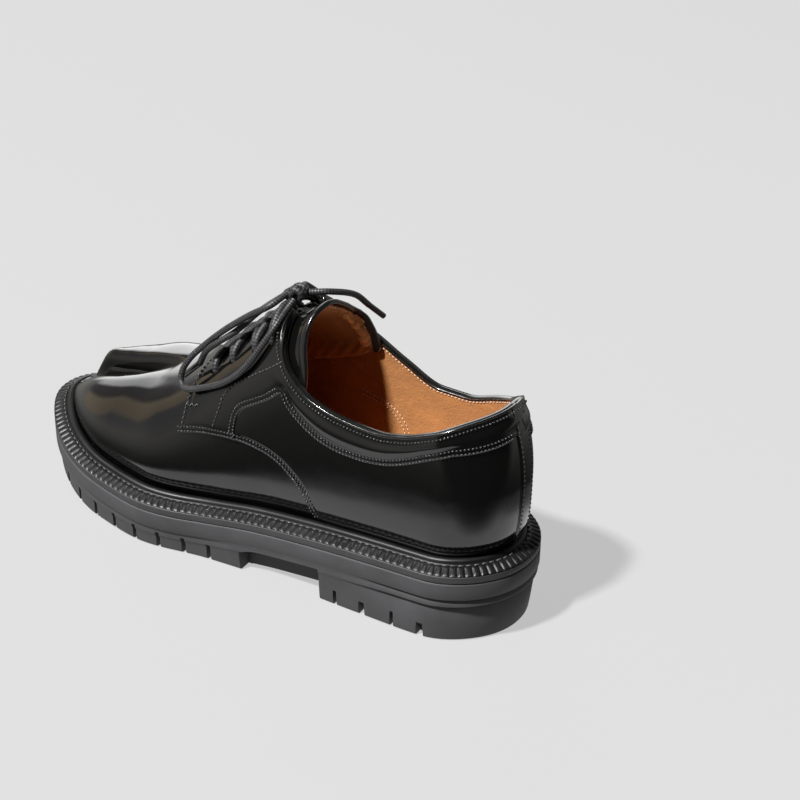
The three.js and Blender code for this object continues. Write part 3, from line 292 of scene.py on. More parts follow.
def refine(uq, error, steps=8):
    """Newton steps in surface parameters until the two errors vanish."""
    u, q = uq[..., 0].copy(), uq[..., 1].copy()
    for _ in range(steps):
        e0 = error(u, q)
        eu = (error(u + 1e-3, q) - e0) / 1e-3
        eq = (error(u, np.where(q > 0.99, q - 1e-3, q + 1e-3)) - e0) / np.where(q > 0.99, -1e-3, 1e-3)[..., None]
        det = eu[..., 0] * eq[..., 1] - eu[..., 1] * eq[..., 0]
        det = np.where(np.abs(det) < 1e-6, 1e-6, det)
        du = (e0[..., 0] * eq[..., 1] - e0[..., 1] * eq[..., 0]) / det
        dq = (eu[..., 0] * e0[..., 1] - eu[..., 1] * e0[..., 0]) / det
        u = u - np.clip(du, -0.02, 0.02)
        q = np.clip(q - np.clip(dq, -0.05, 0.05), 0, 1)
    return np.stack([u, q], -1)


def find(target, axes, side=0, q_low=0.0):
    """Surface parameters of points given in two of the three axes."""
    target = np.asarray(target, float).reshape(-1, 2)
    us, qs = GRID_U[::6], GRID_Q[::3]
    pu, pq = np.meshgrid(us, qs, indexing="ij")
    pts = GRID[::6, ::3][..., list(axes)]
    ok = pq >= q_low
    if side:
        ok = ok & ((pu < 1) if side < 0 else (pu > 1))
    pts, pu, pq = pts[ok], pu[ok], pq[ok]
    d = ((target[:, None, :] - pts[None]) ** 2).sum(-1)
    best = d.argmin(1)
    start = np.stack([pu[best], pq[best]], -1)
    return refine(start, lambda u, q: sample(GRID, u, q)[..., list(axes)] - target)


def snap(points, uq):
    """Surface parameters nearest to 3D points, from a near start."""
    points = np.asarray(points, float)

    def error(u, q):
        p = sample(GRID, u, q)
        eu = unit(sample(GRID, u + 1e-3, q) - sample(GRID, u - 1e-3, q))
        n = normal_at(u, q)
        eq = np.cross(n, eu)
        d = p - points
        return np.stack([(d * eu).sum(-1), (d * eq).sum(-1)], -1)

    return refine(uq, error, 6)


def resample(points, n, metric=None):
    """n points along a polyline, evenly by its length in the metric points."""
    points = np.asarray(points, float)
    m = points if metric is None else metric
    s = np.concatenate([[0], np.cumsum(np.linalg.norm(np.diff(m, axis=0), axis=1))])
    t = np.linspace(0, s[-1], n) if np.isscalar(n) else np.asarray(n) * s[-1]
    return np.stack([np.interp(t, s, points[:, k]) for k in range(points.shape[1])], -1)


def catmull(points, per=12, tension=0.5):
    """Centripetal Catmull-Rom curve through points."""
    p = np.asarray(points, float)
    p = np.vstack([2 * p[0] - p[1], p, 2 * p[-1] - p[-2]])
    out = []
    for i in range(1, len(p) - 2):
        a, b, c, d = p[i - 1], p[i], p[i + 1], p[i + 2]
        t0 = 0.0
        t1 = t0 + max(np.linalg.norm(b - a), 1e-6) ** tension
        t2 = t1 + max(np.linalg.norm(c - b), 1e-6) ** tension
        t3 = t2 + max(np.linalg.norm(d - c), 1e-6) ** tension
        for t in np.linspace(t1, t2, per, endpoint=False):
            a1 = (t1 - t) / (t1 - t0) * a + (t - t0) / (t1 - t0) * b
            a2 = (t2 - t) / (t2 - t1) * b + (t - t1) / (t2 - t1) * c
            a3 = (t3 - t) / (t3 - t2) * c + (t - t2) / (t3 - t2) * d
            b1 = (t2 - t) / (t2 - t0) * a1 + (t - t0) / (t2 - t0) * a2
            b2 = (t3 - t) / (t3 - t1) * a2 + (t - t1) / (t3 - t1) * a3
            out.append((t2 - t) / (t2 - t1) * b1 + (t - t1) / (t2 - t1) * b2)
    out.append(p[-2])
    return np.array(out)


def seam_curve(side, points, n=120, rounded=True):
    """Surface parameters along a side-view line, evenly spaced."""
    yz = catmull(points, 10) if rounded else np.asarray(points, float)
    uq = find(yz, (1, 2), side)
    return resample(uq, n, sample(GRID, uq[:, 0], uq[:, 1]))


# ---------------------------------------------------------------- meshes


def to_row(points):
    """Points of this script as points of the frame, in metres."""
    p = np.asarray(points, float).reshape(-1, 3).copy()
    p[:, 0] -= CENTRE_X
    return p * MM


def mesh_object(name, points, faces, materials, marks=None, sharp=None, weld=0.0, replaces=()):
    """Object from points in millimetres of the sole frame, riding on the shoe's one body."""
    mesh = bpy.data.meshes.new(name)
    mesh.from_pydata(to_row(points).tolist(), [], [tuple(int(i) for i in f) for f in faces])
    obj = bpy.data.objects.new(name, mesh)
    bpy.context.scene.collection.objects.link(obj)
    for m in materials if isinstance(materials, (list, tuple)) else [materials]:
        mesh.materials.append(m)
    if marks is not None:
        mesh.polygons.foreach_set("material_index", np.asarray(marks, np.int32))
    bm = bmesh.new()
    bm.from_mesh(mesh)
    if weld:
        bmesh.ops.remove_doubles(bm, verts=bm.verts, dist=weld * MM)
        bmesh.ops.dissolve_degenerate(bm, edges=bm.edges, dist=weld * MM * 0.5)
    bmesh.ops.recalc_face_normals(bm, faces=bm.faces)
    bm.to_mesh(mesh)
    bm.free()
    mesh.polygons.foreach_set("use_smooth", np.ones(len(mesh.polygons), bool))
    if sharp:
        mesh.set_sharp_from_angle(angle=math.radians(sharp))
    mesh.update()
    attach(obj, BODY)
    if replaces:
        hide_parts(*replaces)
    return obj


def quads(rows, cols, start=0, wrap=False):
    """Faces of a grid of rows by cols points, row-major."""
    i, j = np.meshgrid(np.arange(rows - 1), np.arange(cols if wrap else cols - 1), indexing="ij")
    a = start + i * cols + j
    b = start + i * cols + (j + 1) % cols
    return np.stack([a, b, b + cols, a + cols], -1).reshape(-1, 4)


def boundary(faces):
    """Directed edges that belong to one face alone."""
    seen = {}
    for f in faces:
        n = len(f)
        for k in range(n):
            a, b = f[k], f[(k + 1) % n]
            if a != b:
                key = (b, a)
                if key in seen:
                    del seen[key]
                else:
                    seen[(a, b)] = True
    return list(seen)


def shell(outer, inner, faces):
    """Closed shell from two point sets with the same faces: points, faces, marks 0 outer, 1 inner, 2 rim."""
    n = len(outer)
    faces = [tuple(int(i) for i in f) for f in faces]
    rim = [(b, a, a + n, b + n) for a, b in boundary(faces)]
    back = [tuple(i + n for i in reversed(f)) for f in faces]
    marks = [0] * len(faces) + [1] * len(back) + [2] * len(rim)
    return np.vstack([outer, inner]), faces + back + rim, marks


def ring_mesh(u, levels, closed_frame=False):
    """Points and faces of rings listed from the bottom up, each (inset, height) arrays along u."""
    pts = []
    for inset, z in levels:
        xy = inset_outline(u, inset)
        pts.append(np.column_stack([xy, z]))
    n = len(u)
    pts = np.vstack(pts)
    faces = [tuple(f) for f in quads(len(levels), n, 0, True)]
    if closed_frame:
        last = (len(levels) - 1) * n
        faces += [(last + j, last + (j + 1) % n, (j + 1) % n, j) for j in range(n)]
    else:
        half = n // 2
        for base in (0, (len(levels) - 1) * n):
            for j in range(half):
                a, b = base + j, base + j + 1
                c, d = base + (n - j - 1) % n, base + (n - j) % n
                face = [k for i, k in enumerate((a, b, c, d)) if k not in (a, b, c, d)[:i]]
                if len(face) > 2:
                    faces.append(tuple(face))
    return pts, faces


ARC_U = np.linspace(0, 2, 4001)
ARC_S = np.concatenate([[0], np.cumsum(np.linalg.norm(np.diff(outline(ARC_U), axis=0), axis=1))])


def even_u(n):
    """n values of u spaced evenly along the sole's edge, the toe tip among them for even n."""
    tip = np.interp(1.0, ARC_U, ARC_S)
    near = np.linspace(0, tip, n // 2, endpoint=False)
    s = np.concatenate([near, np.linspace(tip, ARC_S[-1], n - n // 2, endpoint=False)])
    return np.interp(s, ARC_S, ARC_U)


# ---------------------------------------------------------------- finishes


def new_material(name):
    """Material with its nodes, links and shader."""
    m = bpy.data.materials.new(name)
    m.use_nodes = True
    nodes, links = m.node_tree.nodes, m.node_tree.links
    return m, nodes, links, nodes["Principled BSDF"]


def add_node(nodes, kind, **values):
    """Node with values set on its named inputs."""
    node = nodes.new(kind)
    for key, value in values.items():
        if key in node.inputs:
            node.inputs[key].default_value = value
        else:
            setattr(node, key, value)
    return node


def ramp(nodes, links, source, low, high, a=0.0, b=1.0):
    """Brings a value's range to 0 and 1."""
    node = add_node(nodes, "ShaderNodeMapRange")
    node.inputs["From Min"].default_value, node.inputs["From Max"].default_value = a, b
    node.inputs["To Min"].default_value, node.inputs["To Max"].default_value = low, high
    links.new(source, node.inputs["Value"])
    return node.outputs["Result"]


def tint(nodes, links, factor, dark, light):
    """Mixes two colours by a factor."""
    node = add_node(nodes, "ShaderNodeMix", data_type="RGBA")
    node.inputs[6].default_value = (*dark, 1)
    node.inputs[7].default_value = (*light, 1)
    links.new(factor, node.inputs[0])
    return node.outputs[2]


def mottle(nodes, links, shader, source, low, high, dark, light):
    """Base colour between two shades, by a noise between two of its values."""
    share = ramp(nodes, links, source.outputs["Fac"], 0, 1, low, high)
    links.new(tint(nodes, links, share, dark, light), shader.inputs["Base Color"])


def bump_chain(nodes, links, shader, heights):
    """Stacked bumps: each (output, strength, distance in metres)."""
    last = None
    for source, strength, distance in heights:
        node = add_node(nodes, "ShaderNodeBump", Strength=strength, Distance=distance)
        links.new(source, node.inputs["Height"])
        if last:
            links.new(last, node.inputs["Normal"])
        last = node.outputs["Normal"]
    links.new(last, shader.inputs["Normal"])


def polished_leather(name, color, rough=0.085, grain=0.03, wave=0.14, coat=0.5):
    """Smooth box calf: fine pores, slow undulation, a coat of polish."""
    m, nodes, links, shader = new_material(name)
    coord = add_node(nodes, "ShaderNodeTexCoord").outputs["Object"]
    slow = add_node(nodes, "ShaderNodeTexNoise", Scale=38.0, Detail=2.0, Roughness=0.45)
    pores = add_node(nodes, "ShaderNodeTexVoronoi", Scale=1500.0)
    haze = add_node(nodes, "ShaderNodeTexNoise", Scale=220.0, Detail=4.0, Roughness=0.6)
    for node in (slow, pores, haze):
        links.new(coord, node.inputs["Vector"])
    light = tuple(min(1, c * 1.5 + 0.0005) for c in color)
    links.new(tint(nodes, links, haze.outputs["Fac"], color, light), shader.inputs["Base Color"])
    links.new(ramp(nodes, links, haze.outputs["Fac"], rough * 0.8, rough * 1.35, 0.3, 0.7), shader.inputs["Roughness"])
    shader.inputs["Coat Weight"].default_value = coat
    shader.inputs["Coat Roughness"].default_value = 0.05
    shader.inputs["IOR"].default_value = 1.52
    bump_chain(nodes, links, shader, [
        (slow.outputs["Fac"], wave, 0.0012),
        (pores.outputs["Distance"], grain, 0.0003),
        (haze.outputs["Fac"], grain * 1.5, 0.0004),
    ])
    return m


def soft_leather(name, color, shade, rough=0.55, grain=0.25):
    """Unpolished lining leather with a visible grain and a mottled dye."""
    m, nodes, links, shader = new_material(name)
    coord = add_node(nodes, "ShaderNodeTexCoord").outputs["Object"]
    cloud = add_node(nodes, "ShaderNodeTexNoise", Scale=60.0, Detail=5.0, Roughness=0.6)
    cells = add_node(nodes, "ShaderNodeTexVoronoi", Scale=900.0)
    fibre = add_node(nodes, "ShaderNodeTexNoise", Scale=1600.0, Detail=3.0, Roughness=0.6)
    for node in (cloud, cells, fibre):
        links.new(coord, node.inputs["Vector"])
    mottle(nodes, links, shader, cloud, 0.3, 0.7, shade, color)
    links.new(ramp(nodes, links, fibre.outputs["Fac"], rough * 0.85, rough * 1.2, 0.3, 0.7), shader.inputs["Roughness"])
    shader.inputs["Sheen Weight"].default_value = 0.12
    bump_chain(nodes, links, shader, [
        (cloud.outputs["Fac"], 0.35, 0.003),
        (cells.outputs["Distance"], grain, 0.0004),
        (fibre.outputs["Fac"], grain * 0.6, 0.0002),
    ])
    return m


def moulded_rubber(name, color, light, rough=0.62, grain=0.2):
    """Moulded rubber: dusty bloom over a fine spark-eroded texture."""
    m, nodes, links, shader = new_material(name)
    coord = add_node(nodes, "ShaderNodeTexCoord").outputs["Object"]
    bloom = add_node(nodes, "ShaderNodeTexNoise", Scale=45.0, Detail=5.0, Roughness=0.65)
    fine = add_node(nodes, "ShaderNodeTexNoise", Scale=2200.0, Detail=2.0, Roughness=0.6)
    for node in (bloom, fine):
        links.new(coord, node.inputs["Vector"])
    mottle(nodes, links, shader, bloom, 0.32, 0.68, color, light)
    links.new(ramp(nodes, links, bloom.outputs["Fac"], rough * 0.9, rough * 1.15, 0.3, 0.7), shader.inputs["Roughness"])
    shader.inputs["Specular IOR Level"].default_value = 0.4
    bump_chain(nodes, links, shader, [(fine.outputs["Fac"], grain, 0.0002)])
    return m


def yarn(name, color, light, rough=0.5, scale=2600.0):
    """Spun polyester of laces and sewing thread."""
    m, nodes, links, shader = new_material(name)
    coord = add_node(nodes, "ShaderNodeTexCoord").outputs["Object"]
    fuzz = add_node(nodes, "ShaderNodeTexNoise", Scale=scale, Detail=2.0, Roughness=0.7)
    links.new(coord, fuzz.inputs["Vector"])
    mottle(nodes, links, shader, fuzz, 0.35, 0.65, color, light)
    links.new(ramp(nodes, links, fuzz.outputs["Fac"], rough * 0.8, rough * 1.2, 0.3, 0.7), shader.inputs["Roughness"])
    shader.inputs["Sheen Weight"].default_value = 0.03
    bump_chain(nodes, links, shader, [(fuzz.outputs["Fac"], 0.5, 0.0002)])
    return m


FINISH = {}


def times(color, factor):
    """Colour made lighter or darker."""
    return tuple(c * factor for c in color)


def mix_finishes():
    """The shoe's materials, by name in FINISH."""
    look = bpy.context.scene.shoe_finish
    black, tan = tuple(look.leather_color), tuple(look.lining_color)
    rubber, lace = tuple(look.rubber_color), tuple(look.lace_color)
    FINISH["vamp"] = polished_leather("vamp_leather", black)
    FINISH["overlay"] = polished_leather("overlay_leather", black, rough=0.09, wave=0.12)
    # Edge leather is the upper's black made 1.8 times lighter: a painted highlight along bound and folded edges.
    FINISH["edge"] = polished_leather("edge_leather_painted_highlight", times(black, 1.8), rough=0.2, wave=0.1)
    FINISH["lining"] = soft_leather("lining_leather", tan, times(tan, 0.8))
    # The padding is the lining tan made 1.3 to 1.7 times lighter: painted light on the tongue's hem, not a different
    # leather.
    FINISH["padding"] = soft_leather("padding_leather_painted_light", tuple(min(0.9, c) for c in times(tan, 1.7)), times(tan, 1.3))
    FINISH["sock"] = soft_leather("sock_leather", tan, times(tan, 0.82), rough=0.5, grain=0.2)
    FINISH["outsole"] = moulded_rubber("outsole_rubber_finish", rubber, times(rubber, 1.35))
    FINISH["midsole"] = moulded_rubber("midsole_rubber_finish", times(rubber, 0.8), rubber, rough=0.5, grain=0.1)
    FINISH["welt"] = moulded_rubber("welt_rubber_finish", times(rubber, 0.07), times(rubber, 0.16),
                                    rough=0.42, grain=0.1)
    FINISH["lace"] = yarn("lace_braid", times(lace, 0.5), times(lace, 1.2))
    # The crowns of the braid get a yarn 3.5 to 10 times lighter than the lace: a painted highlight on the weave.
    FINISH["lace_crown"] = yarn("lace_crown_painted_highlight_yarn", times(lace, 3.5), times(lace, 10), rough=0.34)
    # The black thread is drawn lighter than black thread is: a painted highlight on the stitches.
    FINISH["thread"] = yarn("black_thread_painted_highlight", (0.014, 0.014, 0.015), (0.06, 0.06, 0.06), rough=0.28, scale=2200)
    # The welt's thread is drawn lighter than its dark thread is: a painted highlight on the stitch row.
    FINISH["welt_thread_painted_highlight"] = yarn("welt_thread_painted_highlight", (0.02, 0.02, 0.021), (0.09, 0.09, 0.09), rough=0.36, scale=2400)
    FINISH["pale_thread"] = yarn("pale_thread", (0.62, 0.45, 0.33), (0.78, 0.62, 0.5), rough=0.5, scale=4000)
    FINISH["tip"] = polished_leather("tip_plastic", (0.012, 0.012, 0.013), rough=0.12, grain=0.0, wave=0.0, coat=0.8)


# ---------------------------------------------------------------- panels


def along(curve, t):
    """Points of a polyline at shares of its length in steps."""
    s = np.linspace(0, 1, len(curve))
    return np.stack([np.interp(t, s, curve[:, k]) for k in range(curve.shape[1])], -1)


def coons(bottom, top, left, right, a, b):
    """Four-sided patch in surface parameters: a along, b across, both of the patch's shape."""
    a1, b1 = a[..., None], b[..., None]
    side = (1 - b1) * along(bottom, a) + b1 * along(top, a) + (1 - a1) * along(left, b) + a1 * along(right, b)
    corner = (1 - a1) * (1 - b1) * bottom[0] + a1 * (1 - b1) * bottom[-1] + (1 - a1) * b1 * top[0] + a1 * b1 * top[-1]
    return side - corner


EDGE_STEPS = (0, 0.1, 0.28, 0.55, 0.9, 1.35, 1.9, 2.6, 3.4, 4.3)


def edge_shares(width, count, low=True, high=True):
    """Shares 0..1 across a width with close steps at the edges, one row per width."""
    width = np.atleast_1d(np.asarray(width, float))
    steps = np.array(EDGE_STEPS)
    fit = np.minimum(1, width * 0.4 / steps[-1])[:, None]
    near = steps[None, :] * fit / width[:, None]
    first = near if low else np.zeros((len(width), 1))
    last = (1 - near)[:, ::-1] if high else np.ones((len(width), 1))
    t = np.linspace(0, 1, count + 2)[None, 1:-1]
    middle = first[:, -1:] + (last[:, :1] - first[:, -1:]) * t
    return np.hstack([first, middle, last])


def line3(curve):
    """Points in space of a line on the upper."""
    return sample(GRID, curve[:, 0], curve[:, 1])


def distance_to(points, lines):
    """Least distance of each point to the dense polylines."""
    flat = points.reshape(-1, 3)
    best = np.full(len(flat), 1e9)
    for line in lines:
        pts = line3(resample(line, 900, line3(line)))
        for k in range(0, len(flat), 4000):
            d = ((flat[k:k + 4000, None] - pts[None]) ** 2).sum(-1).min(1)
            best[k:k + 4000] = np.minimum(best[k:k + 4000], np.sqrt(d))
    return best.reshape(points.shape[:-1])


def roll(d, radius):
    """Share of full height at a distance from a rolled edge."""
    k = 1 - np.clip(d / radius, 0, 1)
    return np.sqrt(np.maximum(0, 1 - k * k))


def panel(name, bottom, top, left, right, thick, exposed, channels=(), na=200, nb=26, radius=1.0, material="overlay",
          replaces=(), ends=(True, True), sides=(True, True), extra=None, under=-0.5):
    """Leather overlay between four curves on the upper, with rolled edges and sewn channels."""
    length = np.linalg.norm(np.diff(line3(bottom), axis=0), axis=1).sum() * 0.5
    length += np.linalg.norm(np.diff(line3(top), axis=0), axis=1).sum() * 0.5
    a = edge_shares([length], na, *ends)[0]
    rungs = np.repeat(np.linspace(0, 1, 14)[None], len(a), 0)
    probe = coons(bottom, top, left, right, np.repeat(a[:, None], 14, 1), rungs)
    width = np.linalg.norm(np.diff(sample(GRID, probe[..., 0], probe[..., 1]), axis=1), axis=-1).sum(1)
    b = edge_shares(np.maximum(width, 2), nb, *sides)
    uq = coons(bottom, top, left, right, np.repeat(a[:, None], b.shape[1], 1), b)
    base = sample(GRID, uq[..., 0], uq[..., 1])
    d = distance_to(base, exposed) if exposed else np.full(base.shape[:2], 9.0)
    off = under + (thick - under) * roll(d, radius)
    for where in channels:
        off = off - 0.26 * np.exp(-(((d - where) / 0.6) ** 2))
    if extra is not None:
        off = off + extra(base)
    outer = surface(uq[..., 0], uq[..., 1], off).reshape(-1, 3)
    inner = surface(uq[..., 0], uq[..., 1], np.full(off.shape, under - 0.6)).reshape(-1, 3)
    pts, faces, _ = shell(outer, inner, quads(*uq.shape[:2]))
    return mesh_object(name, pts, faces, FINISH[material], sharp=50, replaces=replaces)


def offset_line(curve, distance, n=None):
    """Line on the upper at a distance to the left of a curve, seen from outside."""
    pts = line3(curve)
    t = unit(np.gradient(pts, axis=0))
    nrm = normal_at(curve[:, 0], curve[:, 1])
    moved = pts + unit(np.cross(nrm, t)) * distance
    uq = snap(moved, curve)
    uq = uq[np.isfinite(uq).all(1)]
    return resample(uq, n or len(uq), line3(uq))


def trimmed(line, others, least):
    """The part of a line that keeps a least distance to other lines."""
    d = distance_to(line3(line), others)
    keep = d >= least
    return line[keep] if keep.sum() > 3 else line


def stitch_mesh(name, rows, pitch, share=0.62, radius=0.4, lift=0.2, material="thread",
                replaces=()):
    """Separate thread stitches along rows: each row is (points, normals)."""
    ring = np.linspace(0, 2 * math.pi, 6, endpoint=False)
    stations = ((-0.5, 0.45, -0.55), (-0.34, 0.9, 0.1), (0, 1.0, 0.45), (0.34, 0.9, 0.1), (0.5, 0.45, -0.55))
    points, faces = [], []
    for pts, nrm in rows:
        s = np.concatenate([[0], np.cumsum(np.linalg.norm(np.diff(pts, axis=0), axis=1))])
        count = max(1, int(s[-1] / pitch))
        step = s[-1] / count
        for c in range(count):
            mid = (c + 0.5) * step
            at = [mid + k[0] * step * share for k in stations]
            p = np.stack([np.interp(at, s, pts[:, k]) for k in range(3)], -1)
            n = unit(np.stack([np.interp(at, s, nrm[:, k]) for k in range(3)], -1))
            t = unit(p[-1] - p[0])[None]
            side = unit(np.cross(n, t))
            base = len(points)
            for k, (_, wide, rise) in enumerate(stations):
                c0 = p[k] + n[k] * (lift + rise * radius)
                for a in ring:
                    points.append(c0 + (side[k] * math.cos(a) + n[k] * math.sin(a)) * radius * wide)
            for k in range(len(stations) - 1):
                for i in range(6):
                    j = (i + 1) % 6
                    faces.append((base + k * 6 + i, base + k * 6 + j, base + k * 6 + 6 + j, base + k * 6 + 6 + i))
            faces.append(tuple(base + i for i in range(5, -1, -1)))
            faces.append(tuple(base + (len(stations) - 1) * 6 + i for i in range(6)))
    return mesh_object(name, np.array(points), faces, FINISH[material], replaces=replaces)


def on_surface(uq, off, n=None):
    """A row of the stitcher: points off the upper's surface, with normals."""
    line = resample(uq, n or max(40, len(uq)), line3(uq))
    return surface(line[:, 0], line[:, 1], np.full(len(line), off)), normal_at(line[:, 0], line[:, 1])


def sweep(name, centres, across, up, profile, material, closed=False, replaces=(), sharp=60, marks=None):
    """Closed section carried along a line: profile points are (across, up) in millimetres."""
    n = len(profile)
    pts = centres[:, None] + across[:, None] * np.array([p[0] for p in profile])[None, :, None]
    pts = pts + up[:, None] * np.array([p[1] for p in profile])[None, :, None]
    rows = len(centres)
    faces = [tuple(f) for f in quads(rows, n, 0, True)]
    kinds = list(marks) * (rows - 1) if marks else None
    if closed:
        last = (rows - 1) * n
        faces += [(last + j, last + (j + 1) % n, (j + 1) % n, j) for j in range(n)]
    else:
        faces += [tuple(range(n - 1, -1, -1)), tuple((rows - 1) * n + i for i in range(n))]
        kinds = kinds + [0, 0] if kinds else None
    return mesh_object(name, pts.reshape(-1, 3), faces, material, marks=kinds, sharp=sharp, replaces=replaces)


def tube_frames(path):
    """Parallel-transport frames along a path."""
    t = unit(np.gradient(path, axis=0))
    ref = np.array([0, 0, 1.0]) if abs(t[0][2]) < 0.9 else np.array([1.0, 0, 0])
    a = unit(np.cross(t[0], ref))
    first = []
    for k in range(len(path)):
        a = unit(a - t[k] * float(a @ t[k]))
        first.append(a)
    first = np.array(first)
    return t, first, np.cross(t, first)


def braided(points, diameter, step=0.34, sides=24, plait=1.4, carriers=8, depth=0.11, smoothed=True):
    """Round braided cord along control points: mesh points, faces and the path it follows."""
    path = catmull(points, 16) if smoothed else np.asarray(points, float)
    length = np.linalg.norm(np.diff(path, axis=0), axis=1).sum()
    path = resample(path, max(12, int(length / step)))
    _, a, b = tube_frames(path)
    s = np.linspace(0, length, len(path))[:, None]
    phi = np.linspace(0, 2 * math.pi, sides, endpoint=False)[None]
    twist = 2 * math.pi * s / (plait * carriers)
    weave = np.sin(carriers * (phi + twist) / 2) * np.sin(carriers * (phi - twist) / 2)
    r = diameter / 2 * (1 - depth + depth * np.abs(weave) ** 0.6 * 1.6)
    r = np.minimum(r, diameter / 2 * 1.03)
    pts = path[:, None] + (a[:, None] * np.cos(phi)[..., None] + b[:, None] * np.sin(phi)[..., None]) * r[..., None]
    rows = len(path)
    faces = [tuple(f) for f in quads(rows, sides, 0, True)]
    faces += [tuple(range(sides - 1, -1, -1)), tuple((rows - 1) * sides + i for i in range(sides))]
    # Faces on the crowns of the weave, marked for the lighter yarn of the painted highlight.
    marks = [int(v) for v in (weave[:-1] > 0.6).ravel()] + [0, 0]
    return pts.reshape(-1, 3), faces, marks, path


def lace_mesh(name, parts, node):
    """One object of braided cords: the crowns of the braid are smoother and painted lighter than the rest, a painted
    highlight.
    """
    pts, faces = joined([p[:2] for p in parts])
    marks = [m for p in parts for m in p[2]]
    return mesh_object(name, pts, faces, [FINISH["lace"], FINISH["lace_crown"]],
                       marks=marks, sharp=80, replaces=(node,))


def joined(parts):
    """Several (points, faces) as one."""
    points, faces, base = [], [], 0
    for pts, fcs in parts:
        points.append(pts)
        faces += [tuple(int(i) + base for i in f) for f in fcs]
        base += len(pts)
    return np.vstack(points), faces


def above(x, y, off):
    """Points off the upper's surface over places in plan."""
    x, y = np.atleast_1d(x), np.atleast_1d(y)
    uq = find(np.stack([x, y], -1), (0, 1), 0, 0.3)
    return surface(uq[:, 0], uq[:, 1], np.broadcast_to(off, x.shape))


# ---------------------------------------------------------------- the upper


def throat_sides(y):
    """Lateral and medial edge of the throat at y."""
    c0, c1 = spine_x(THROAT_FRONT_Y), spine_x(-20)
    t = (THROAT_FRONT_Y - 3 - y) / (THROAT_FRONT_Y + 37)
    corner = np.maximum(0, y - THROAT_FRONT_Y + 3)
    t = np.maximum(t, 0)
    left = (c0 - THROAT_HALF_FRONT) * (1 - t) + (c1 - THROAT_HALF_TOP) * t + corner
    right = (c0 + THROAT_HALF_FRONT) * (1 - t) + (c1 + THROAT_HALF_TOP) * t - corner
    return left, right


def cut_away(u, q):
    """True where the collar or the throat leaves no upper."""
    p = sample(GRID, u, q)
    x, y, z = p[..., 0], p[..., 1], p[..., 2]
    top = np.where(np.mod(u, 2) <= 1, top_lat(y), top_med(y))
    left, right = throat_sides(y)
    return ((y < FACING_TOP_Y) & (z > top)) | ((y < THROAT_FRONT_Y) & (y > -40) & (x > left) & (x < right))


def rim_q(u):
    """Surface parameter q of the upper's top edge at each u, 1 in front of the throat."""
    u = np.asarray(u, float)
    steps = np.linspace(0.3, 1, 181)
    gone = cut_away(np.repeat(u[:, None], len(steps), 1), np.repeat(steps[None], len(u), 0))
    first = gone.argmax(1)
    high = np.where(gone.any(1), steps[first], 1.0)
    low = np.where(gone.any(1), steps[np.maximum(first - 1, 0)], 1.0)
    for _ in range(12):
        mid = (low + high) / 2
        out = cut_away(u, mid)
        high, low = np.where(out, mid, high), np.where(out, low, mid)
    return low


def spine_y(u):
    """Place along the shoe of the upper's middle line at u."""
    f = inset_outline(u, np.full(np.shape(u), FEATHER_INSET))
    g = inset_outline(2 - np.asarray(u), np.full(np.shape(u), FEATHER_INSET))
    return (f[..., 1] + g[..., 1]) / 2


FINE_U = np.linspace(0, 1, 4001)
U_THROAT = float(np.interp(THROAT_FRONT_Y, spine_y(FINE_U), FINE_U))
U_FAN = float(np.interp(TOE_FAN_Y, spine_y(FINE_U), FINE_U))


def spread(low, high, spacing):
    """Values of u between two, spaced as a function of the feather line's x and y asks."""
    u = np.linspace(low, high, 3001)
    f = inset_outline(u, np.full(u.shape, FEATHER_INSET))
    ds = np.linalg.norm(np.diff(f, axis=0), axis=1)
    gap = spacing((f[1:] + f[:-1]) / 2)
    s = np.concatenate([[0], np.cumsum(ds / gap)])
    return np.interp(np.linspace(0, s[-1], int(s[-1]) + 2), s, u)


def side_gap(f):
    y = f[:, 1]
    gap = np.where(y > 15, 1.6, np.where(y > -60, 1.8, 2.5))
    return np.where((y > -36) & (y < -14), 0.8, gap)


def toe_gap(f):
    return np.clip(0.3 + np.maximum(0, np.abs(f[:, 0] - CLEFT_X) - 5) * 0.16, 0.3, 1.6)


def cleft(points, grow=0.0):
    """Carries the two toe lobes down into the cleft between them."""
    p = points.copy()
    x, y, z = p[..., 0], p[..., 1], p[..., 2]
    d = np.abs(x - CLEFT_X)
    half, turn = cleft_half(y) + grow, cleft_round(y)
    low = cleft_floor(y) - grow
    k = np.clip((d - half) / turn, 0, 1)
    drop = turn * (1 - np.sqrt(np.maximum(0, 1 - (1 - k) ** 2)))
    foot = half * 0.45
    shoulder = np.maximum(z - turn, low)
    wall = low + (shoulder - low) * np.clip((d - foot) / (half - foot), 0, 1)
    new = np.where(d >= half, z - drop, wall)
    new = np.maximum(new, np.minimum(z, low))
    p[..., 2] = z + (np.minimum(new, z) - z) * smooth(60, 67, y)
    return p


# Soft troughs pressed in the vamp: centre, half length and half width in millimetres, turn and depth.
CREASES = (
    (-33, 33, 16, 5.0, 1.0, 0.1), (-27, 44, 18, 6.0, 0.8, 0.05),
    (35, 44, 22, 6.0, -0.6, 0.12), (30, 58, 18, 5.0, -0.4, -0.08),
)


def creases(base):
    """Soft troughs and ridges of worn leather, as heights."""
    total = np.zeros(base.shape[:-1])
    for x, y, long, wide, turn, depth in CREASES:
        dx, dy = base[..., 0] - x, base[..., 1] - y
        a = dx * math.cos(turn) + dy * math.sin(turn)
        b = -dx * math.sin(turn) + dy * math.cos(turn)
        total -= depth * np.exp(-((a / long) ** 2) - (b / wide) ** 2)
    return total


